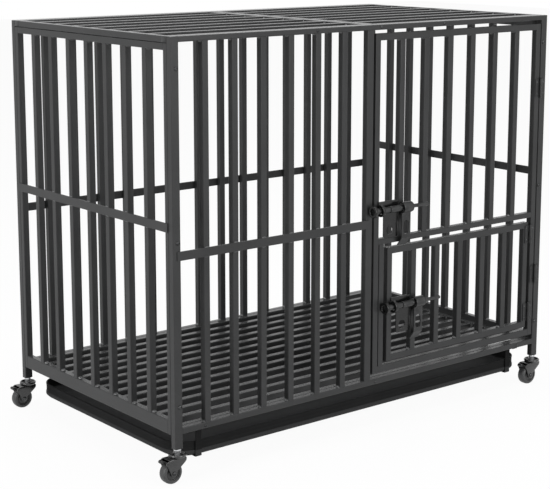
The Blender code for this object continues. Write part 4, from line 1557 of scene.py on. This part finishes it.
@dataclass
class Tray:
    """The waste tray and the four straps that carry it.

    Attributes:
        shop: where pieces are made.
        half_x: half the tray's length.
        half_y: half its depth.
        low: height of its underside.
        high: height of its rim.
        corner: radius of its corners.
        band: height of the stepped band at its foot.
        hanger_x: how far from the middle the straps hang.
        hanger_top: height of their upper ends.
        hanger_width: their width.
        hanger_thick: their thickness.
        hanger_lip: how far they reach in under the tray.
    """

    shop: Workshop
    half_x: float = 0.560
    half_y: float = 0.308
    low: float = -0.038
    high: float = -0.004
    corner: float = 0.060
    band: float = 0.012
    hanger_x: float = 0.502
    hanger_top: float = 0.0326
    hanger_width: float = 0.016
    hanger_thick: float = 0.002
    hanger_lip: float = 0.025

    def loop(self, inset: Array) -> Array:
        """The plan outline at each inset.

        Each corner is an arc of the corner radius less the inset, about a point that stays where
        it is, so that every outline has the same number of points.

        Args:
            inset: how far in each outline lies.

        Returns:
            The outlines, as insets x points x 2.
        """
        angle = np.radians(np.linspace(0.0, 90.0, 13))
        rings = []
        for quarter, (sx, sy) in enumerate(((1, 1), (-1, 1), (-1, -1), (1, -1))):
            middle = np.array([sx * (self.half_x - self.corner), sy * (self.half_y - self.corner)])
            turn = angle + quarter * math.pi / 2
            way = np.stack([np.cos(turn), np.sin(turn)], axis=1)
            rings.append(middle + (self.corner - inset)[:, None, None] * way)
        return np.concatenate(rings, axis=1)

    def pan(self) -> Form:
        """The pan's skin: outside from the foot up, over the rolled rim, and down the inside."""
        low, high, top = self.low, self.high, self.low + self.band
        outside = [(0.0065, low), (0.0, low + 0.0060), (0.0, top), (0.0013, top + 0.0016)]
        rim = [(0.0013, high - 0.0046), (0.0006, high - 0.0038), (0.0006, high), (0.0050, high)]
        inside = [(0.0052, high - 0.0040), (0.0046, high - 0.0052), (0.0046, top + 0.0015)]
        floor = [(0.0022, top - 0.0015), (0.0022, low + 0.0085), (0.0085, low + 0.0022)]
        profile = soften(outside + rim + inside + floor, 0.0011, closed=False)
        return stacked(self.loop(profile[:, 0]), profile[:, 1])

    def hanger(self, sx: int, sy: int) -> Form:
        """One bent strap: a rounded section carried down the wall and in under the tray.

        Args:
            sx: -1 for a strap on the left, 1 on the right.
            sy: -1 for a strap in front, 1 at the back.

        Returns:
            The strap in its place.
        """
        wall, half = self.half_y + 0.001, self.hanger_thick / 2
        top, low = self.hanger_top - half, self.low - 0.0004 - half
        down = [(HALF_DEPTH - 0.0035, top), (wall + half, top), (wall + half, low)]
        flat = soften([*down, (wall - self.hanger_lip, low)], 0.0022, 6, closed=False)
        path = np.stack([np.zeros(len(flat)), sy * flat[:, 0], flat[:, 1]], axis=1)
        section = rounded_rectangle(self.hanger_width, self.hanger_thick, 0.0006, 3)
        return carried(path, section, (1, 0, 0)).moved((sx * self.hanger_x, 0, 0))

    def build(self) -> None:
        """Builds the tray and its hangers."""
        self.shop.piece("tray_pan", self.pan(), "tray", "tray_steel", Finish.TRAY, "tray")
        for corner, side in CORNERS.items():
            node = f"tray_hanger_{corner}"
            strap = self.hanger(*side)
            self.shop.piece(f"tray_strap_{corner}", strap, "frame", "panel_powder_coat", Finish.TRAY, node)


@dataclass
class Casters:
    """Four swivel casters with brakes. Heights here are from the ground, about the swivel axis.

    Attributes:
        shop: where pieces are made.
        x: how far along the crate the swivel axes lie.
        y: how far across it they lie.
        wheel: the wheels' radius.
        trail: how far behind the swivel axis the axle lies.
        fork_inner: half the gap between the fork's legs.
        fork_sheet: the fork's thickness.
        fork_top: height of the fork's bridge.
        cup_top: height of the bearing cup's rim.
        cup: the cup's radius.
        stem_top: height of the stem's collar.
        pivot: X and height of the pedal's cross pin.
        pedal_width: the pedal's width.
        grip: X and height of the middle of its round end, from the pin.
    """

    shop: Workshop
    x: float = 0.574
    y: float = 0.331
    wheel: float = 0.025
    trail: float = 0.018
    fork_inner: float = 0.0123
    fork_sheet: float = 0.0025
    fork_top: float = 0.0575
    cup_top: float = 0.0650
    cup: float = 0.0203
    stem_top: float = 0.0746
    pivot: Pair = (-0.034, 0.051)
    pedal_width: float = 0.0120
    grip: Pair = (-0.0095, 0.0030)

    def on_axle(
        self, profile: Sequence[Pair], sides: int, reach: float, steps: int = 3, closed: bool = True
    ) -> Form:
        """A piece turned about the axle.

        Args:
            profile: (radius, place along the axle) points.
            sides: steps in the turn.
            reach: how far from a corner its rounding starts.
            steps: steps in each rounding.
            closed: whether the profile is a ring's section.

        Returns:
            The piece in its place.
        """
        form = turned(profile, Axis.Y, sides, closed, reach, steps)
        return form.moved((-self.trail, 0.0, self.wheel))

    def tyre_form(self) -> Form:
        """The tyre: a turned ring with a crowned tread and round shoulders."""
        r = self.wheel
        flank = [(0.0165, 0.0082), (0.0172, 0.0108), (0.0198, 0.0110)]
        shoulder = [(r - 0.0012, 0.0092), (r - 0.00005, 0.0052)]
        return self.on_axle(mirrored(flank + shoulder, [(r, 0.0)]), 64, 0.0014, 4)

    def hub_form(self) -> Form:
        """The hub: a turned dish with a raised boss about the axle and a step at the tyre."""
        boss = [(0.0034, 0.0119), (0.0068, 0.0119), (0.0075, 0.0098)]
        dish = [(0.0082, 0.0072), (0.0142, 0.0066), (0.0152, 0.0088), (0.0171, 0.0090)]
        return self.on_axle(mirrored(boss + dish), 56, 0.0007)

    def axle_form(self) -> Form:
        """The axle, with a low cap on each end."""
        seat, rise = self.fork_inner + self.fork_sheet + 0.0004, 0.0024
        cap = [(0.0, seat + rise), (0.0030, seat + rise), (0.0048, seat + 0.6 * rise), (0.0052, seat)]
        return self.on_axle(mirrored([*cap, (0.0030, seat)]), 32, 0.0006, closed=False)

    def leg_outline(self) -> Array:
        """A fork leg from its side: an eye about the axle under a shoulder that sweeps back."""
        top = self.fork_top - 0.0006
        eye = arc((-self.trail, self.wheel), 0.0075, 30.0, -160.0, 18)
        front = [(0.0150, top), (0.0150, 0.0505), (0.0105, 0.0460), (0.0040, 0.0410)]
        back = [(-0.0350, 0.0445), (-0.0385, 0.0475), (-0.0385, 0.0520), (-0.0300, top)]
        front, back = soften(front, 0.0030, 4, closed=False), soften(back, 0.0022, 4, closed=False)
        return np.vstack([front, eye, back])

    def fork_form(self) -> Form:
        """The folded fork: two legs, and the bent bridge over the wheel.

        The bridge is a folded section carried along the fork, drawn in a little at both ends.
        """
        sheet, low = self.fork_sheet, 0.0500
        leg = plate(self.leg_outline(), sheet, 0.0006).laid((0, 2, 1))
        legs = [leg.moved((0, side * (self.fork_inner + sheet / 2), 0)) for side in (-1, 1)]
        edge, bore = self.fork_inner + sheet - 0.0004, self.fork_inner + 0.0004
        under = self.fork_top - sheet
        outside = [(-edge, low), (-edge, self.fork_top), (edge, self.fork_top), (edge, low)]
        inside = [(bore, low), (bore, under), (-bore, under), (-bore, low)]
        rings = drawn_in(soften(outside + inside, 0.0020, 4), np.array([0.0005, 0.0, 0.0, 0.0005]))
        bridge = stacked(rings, np.array([0.0148, 0.0140, -0.0290, -0.0298]))
        return Form.joined([*legs, bridge.laid((1, 2, 0))])

    def cup_form(self) -> Form:
        """The open bearing cup on the bridge, with a rolled rim."""
        floor, foot, rim = self.fork_top + 0.0015, self.fork_top - 0.0012, self.cup_top
        inside = [(0.0, floor), (0.0140, floor), (0.0158, floor + 0.0022), (0.0166, rim - 0.0004)]
        lip = [(0.0186, rim), (self.cup, rim - 0.0022), (self.cup, rim - 0.0048)]
        under = [(0.0186, self.fork_top + 0.0002), (0.0140, foot), (0.0, foot)]
        return turned(inside + lip + under, Axis.Z, 56, reach=0.0012, steps=4)

    def stem_form(self) -> Form:
        """The bright stem: a tapered collar under the post, shank and rivet."""
        top, low = self.stem_top, self.fork_top + 0.0019
        rivet = self.fork_top - self.fork_sheet - 0.0004
        collar = [(0.0, top), (0.0082, top), (0.0082, top - 0.0022), (0.0060, low + 0.0020), (0.0060, low)]
        shank = [(0.0039, low), (0.0039, rivet)]
        end = [(0.0061, rivet), (0.0052, rivet - 0.0020), (0.0, rivet - 0.0022)]
        return turned(collar + shank + end, Axis.Z, 40, reach=0.0005)

    def pedal_form(self) -> Form:
        """The brake pedal: a rounded lever with three grip ribs, on its cross pin."""
        toe = [(-0.0030, -0.0035), (0.0012, -0.0048), (0.0036, -0.0015), (0.0036, 0.0012)]
        lever = np.vstack([arc(self.grip, 0.0038, 70.0, 250.0, 16), soften(toe, 0.0010, closed=False)])
        forms = [plate(lever, self.pedal_width, 0.0014).laid((0, 2, 1))]
        reach = self.fork_inner + self.fork_sheet + 0.0005
        pin = [(0.0, reach), (0.0021, reach), (0.0025, reach - 0.0004)]
        forms.append(turned(mirrored(pin), Axis.Y, 24))
        for x, z in arc((0.0, 0.0), 1.0, 125.0, 175.0, 2):
            way = np.array([x, 0.0, z])
            spot = np.array([self.grip[0], 0.0, self.grip[1]]) + 0.0036 * way
            forms.append(tube(spot - (0, 0.0046, 0), spot + (0, 0.0046, 0), 0.0008, 0.0010, way, 0.0003))
        return Form.joined(forms).moved((self.pivot[0], 0, self.pivot[1]))

    def build(self) -> None:
        """Builds the four casters. Each row has a piece's name, form, body, slot, finish and solid."""
        parts = [
            ("stem_collar", self.stem_form(), "frame", "stem_zinc", Finish.BRIGHT, "caster_stem"),
            ("folded_fork", self.fork_form(), "fork", "fork_steel", Finish.SHEET, "caster_fork"),
            ("bearing_cup", self.cup_form(), "fork", "fork_steel", Finish.SHEET, ""),
            ("wheel_bolt", self.axle_form(), "fork", "fastener_zinc", Finish.DULL, "caster_axle"),
            ("tyre", self.tyre_form(), "wheel", "tyre", Finish.TYRE, "caster_wheel"),
            ("hub", self.hub_form(), "wheel", "tyre", Finish.HUB, ""),
            ("brake_pedal", self.pedal_form(), "pedal", "pedal_plastic", Finish.PEDAL, "caster_pedal"),
        ]
        for corner, (sx, sy) in CORNERS.items():
            spot = (sx * self.x, sy * self.y, GROUND)
            for name, form, body, slot, finish, node in parts:
                rider = body if body == "frame" else f"{body}_{corner}"
                solid = f"{node}_{corner}" if node else ""
                self.shop.piece(f"{name}_{corner}", form.moved(spot), rider, slot, finish, solid)


@dataclass
class Fasteners:
    """Corner bolts through the posts, and the screws that hold the roof and the floor.

    Attributes:
        shop: where pieces are made.
        bolt_x: how far from the middle the corner bolts lie.
        bolt_head: radius and height of their heads.
        shank_radius: radius of the upper bolts' shanks.
        shank_length: how far those reach into the crate.
        upper: height of the upper bolts.
        lower: heights of the other two.
        screw_head: radius and height of the screws' heads.
        roof_z: height of the roof's screws.
        roof_x: where they lie.
        floor_z: height of the floor's screws.
        floor_x: where they lie.
    """

    shop: Workshop
    bolt_x: float = HALF_LENGTH - 0.013
    bolt_head: Pair = (0.0050, 0.0029)
    shank_radius: float = 0.0030
    shank_length: float = 0.027
    upper: float = 0.832
    lower: Pair = (0.460, 0.095)
    screw_head: Pair = (0.0040, 0.0022)
    roof_z: float = 0.8940
    roof_x: Triple = (-0.184, 0.010, 0.215)
    floor_z: float = 0.0390
    floor_x: Triple = (-0.502, 0.004, 0.506)

    def domed(self, radius: float, height: float, side: int) -> Form:
        """A domed head that faces the front (side -1) or the back (side 1)."""
        head = turned(screw_head(radius, height, 0.42 * radius), Axis.Y, 28, reach=0.0004)
        return head.laid((0, 1, 2), (1, side, 1))

    def shank(self, side: int) -> Form:
        """The upper bolt's shank, from its head into the end panel's stile."""
        low, high = sorted((side * HALF_DEPTH, side * (HALF_DEPTH - self.shank_length)))
        radius = self.shank_radius
        return turned([(0.0, low), (radius, low), (radius, high), (0.0, high)], Axis.Y, 20)

    def build(self) -> None:
        """Builds every head, in small sets."""
        body, slot, finish = "frame", "fastener_zinc", Finish.DULL
        for corner, (sx, sy) in CORNERS.items():
            x, face = sx * self.bolt_x, sy * (HALF_DEPTH + 0.0004)
            bolt = self.domed(*self.bolt_head, sy)
            top = Form.joined([bolt.moved((0, face, 0)), self.shank(sy)]).moved((x, 0, self.upper))
            self.shop.piece(f"upper_bolt_{corner}", top, body, slot, finish, f"corner_bolt_{corner}")
            rest = Form.joined([bolt.moved((x, face, height)) for height in self.lower])
            self.shop.piece(f"lower_bolts_{corner}", rest, body, slot, finish)
        for side, label in ((-1, "front"), (1, "back")):
            screw = self.domed(*self.screw_head, side).moved((0, side * (HALF_DEPTH + 0.0002), 0))
            rows = (("roof", self.roof_x, self.roof_z), ("floor", self.floor_x, self.floor_z))
            for name, places, z in rows:
                screws = Form.joined([screw.moved((x, 0, z)) for x in places])
                self.shop.piece(f"{name}_screws_{label}", screws, body, slot, finish)


# The studio


def aim(obj: bpy.types.Object, spot: Sequence[float], ahead: Sequence[float]) -> None:
    """Puts a camera or a lamp in its place, level, and links it to the scene.

    Its matrix has the columns right, up, back and place, where right is ahead x (0, 0, 1).

    Args:
        obj: the camera or lamp.
        spot: its place.
        ahead: the direction that it looks along.
    """
    ahead = unit(np.asarray(ahead, float))
    right = unit(np.cross(ahead, (0.0, 0.0, 1.0)))
    matrix = np.eye(4)
    matrix[:3] = np.stack([right, np.cross(right, ahead), -ahead, np.asarray(spot, float)], axis=1)
    obj.matrix_world = matrix.T.tolist()
    bpy.context.scene.collection.objects.link(obj)


@dataclass
class Studio:
    """Pale floor, soft light and the photograph's camera.

    Attributes:
        lens: focal length in millimetres.
        shift: how far the picture is shifted down, in parts of its width.
        yaw: degrees that the camera is turned from straight back, to the left.
        pitch: degrees that it looks down.
        eye: its place.
        sky: strength of the sky as light.
        glow: how much of the floor's brightness is its own.
        floor_half: half the floor's side.
        target: what the lamps are turned to.
        lamps: name, place, side and power of each square lamp.
    """

    lens: float = 96.64
    shift: float = -0.10
    yaw: float = -38.558
    pitch: float = 10.237
    eye: Triple = (-2.3253, -2.8712, 1.1319)
    sky: float = 0.30
    glow: float = 0.95
    floor_half: float = 14.0
    target: Triple = (0.0, 0.0, 0.45)
    lamps: tuple[tuple[str, Triple, float, float], ...] = (
        ("left", (-4.4, -0.33, 1.5), 1.2, 100.0),
        ("front", (0.8, -4.6, 1.7), 2.6, 120.0),
        ("top", (0.2, 0.2, 4.2), 2.6, 120.0),
    )

    def camera(self) -> None:
        """Sets the camera: it looks along (-sin yaw cos pitch, cos yaw cos pitch, -sin pitch)."""
        yaw, pitch = math.radians(self.yaw), math.radians(self.pitch)
        lens = bpy.data.cameras.new("camera")
        lens.lens = self.lens
        lens.sensor_width = 36.0
        lens.shift_y = self.shift
        lens.clip_end = 60.0
        camera = bpy.data.objects.new("camera", lens)
        ahead = (-math.sin(yaw) * math.cos(pitch), math.cos(yaw) * math.cos(pitch), -math.sin(pitch))
        aim(camera, np.asarray(self.eye) + PANEL_MIDDLE, ahead)
        bpy.context.scene.camera = camera

    def seen(self, graph: Graph) -> Socket:
        """1 for rays from the camera, a reflection or a clear surface, else 0."""
        rays = graph.node("ShaderNodeLightPath").outputs
        names = ("Is Camera Ray", "Is Glossy Ray", "Is Transmission Ray")
        eye, shine, clear = (Socket(graph, rays[name]) for name in names)
        return eye.most(shine).most(clear)

    def floor(self) -> None:
        """A wide pale floor whose own brightness shows only to the eye, so that it keeps shadows."""
        graph = Graph(bpy.data.materials.new("pale_floor"))
        matt = graph.value("ShaderNodeBsdfDiffuse", {}, {"Color": (0.80, 0.80, 0.80, 1.0)})
        glow = graph.value("ShaderNodeEmission", {}, {"Color": (1.0, 1.0, 1.0, 1.0), "Strength": 1.0})
        mixed = graph.value("ShaderNodeMixShader", {}, {0: self.seen(graph) * self.glow, 1: matt, 2: glow})
        graph.node("ShaderNodeOutputMaterial", {}, {0: mixed})
        side = np.linspace(-self.floor_half, self.floor_half, 2)
        form = Form.grid(np.stack(np.meshgrid(side, side, [0.0]), axis=-1)[:, :, 0], around=False)
        mesh = bpy.data.meshes.new("floor")
        mesh.from_pydata(form.points.tolist(), [], form.faces)
        mesh.materials.append(graph.owner)
        floor = bpy.data.objects.new("floor", mesh)
        bpy.context.scene.collection.objects.link(floor)

    def world(self) -> None:
        """An even pale sky: white to the eye and in reflections, softer as light."""
        graph = Graph(bpy.data.worlds.new("studio"))
        strength = self.seen(graph).span(0.0, 1.0, self.sky, 1.0)
        inputs = {"Color": (1.0, 1.0, 1.0, 1.0), "Strength": strength}
        graph.node("ShaderNodeOutputWorld", {}, {0: graph.value("ShaderNodeBackground", {}, inputs)})
        bpy.context.scene.world = graph.owner

    def lamp(self, name: str, spot: Triple, size: float, power: float) -> None:
        """A large square lamp turned to the crate's middle.

        Args:
            name: its name.
            spot: its place.
            size: its side.
            power: its power in watts.
        """
        light = bpy.data.lights.new(name, "AREA")
        light.size = size
        light.energy = power
        aim(bpy.data.objects.new(name, light), spot, np.subtract(self.target, spot))

    def build(self) -> None:
        """Sets the stage."""
        bpy.context.scene.view_settings.view_transform = "Standard"
        self.camera()
        self.floor()
        self.world()
        for lamp in self.lamps:
            self.lamp(*lamp)


def main() -> None:
    """Loads the frame, dresses it piece by piece and sets the stage."""
    logging.basicConfig(level=logging.INFO, format="%(name)s %(message)s")
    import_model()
    Studio().build()
    shop = Workshop()
    Body(shop).build()
    Doors(shop).build()
    Hinges(shop).build()
    upper = ("frame", "main_door", "upper_bolt", "upper_hasp")
    SlideBolt(shop, "upper", 0.463, 0.001, -0.023, upper).build()
    lower = ("main_door", "feed_door", "lower_bolt", "lower_hasp")
    SlideBolt(shop, "lower", 0.223, 0.046, 0.019, lower).build()
    Tray(shop).build()
    Casters(shop).build()
    Fasteners(shop).build()
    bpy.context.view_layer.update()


if __name__ == "__main__":
    main()
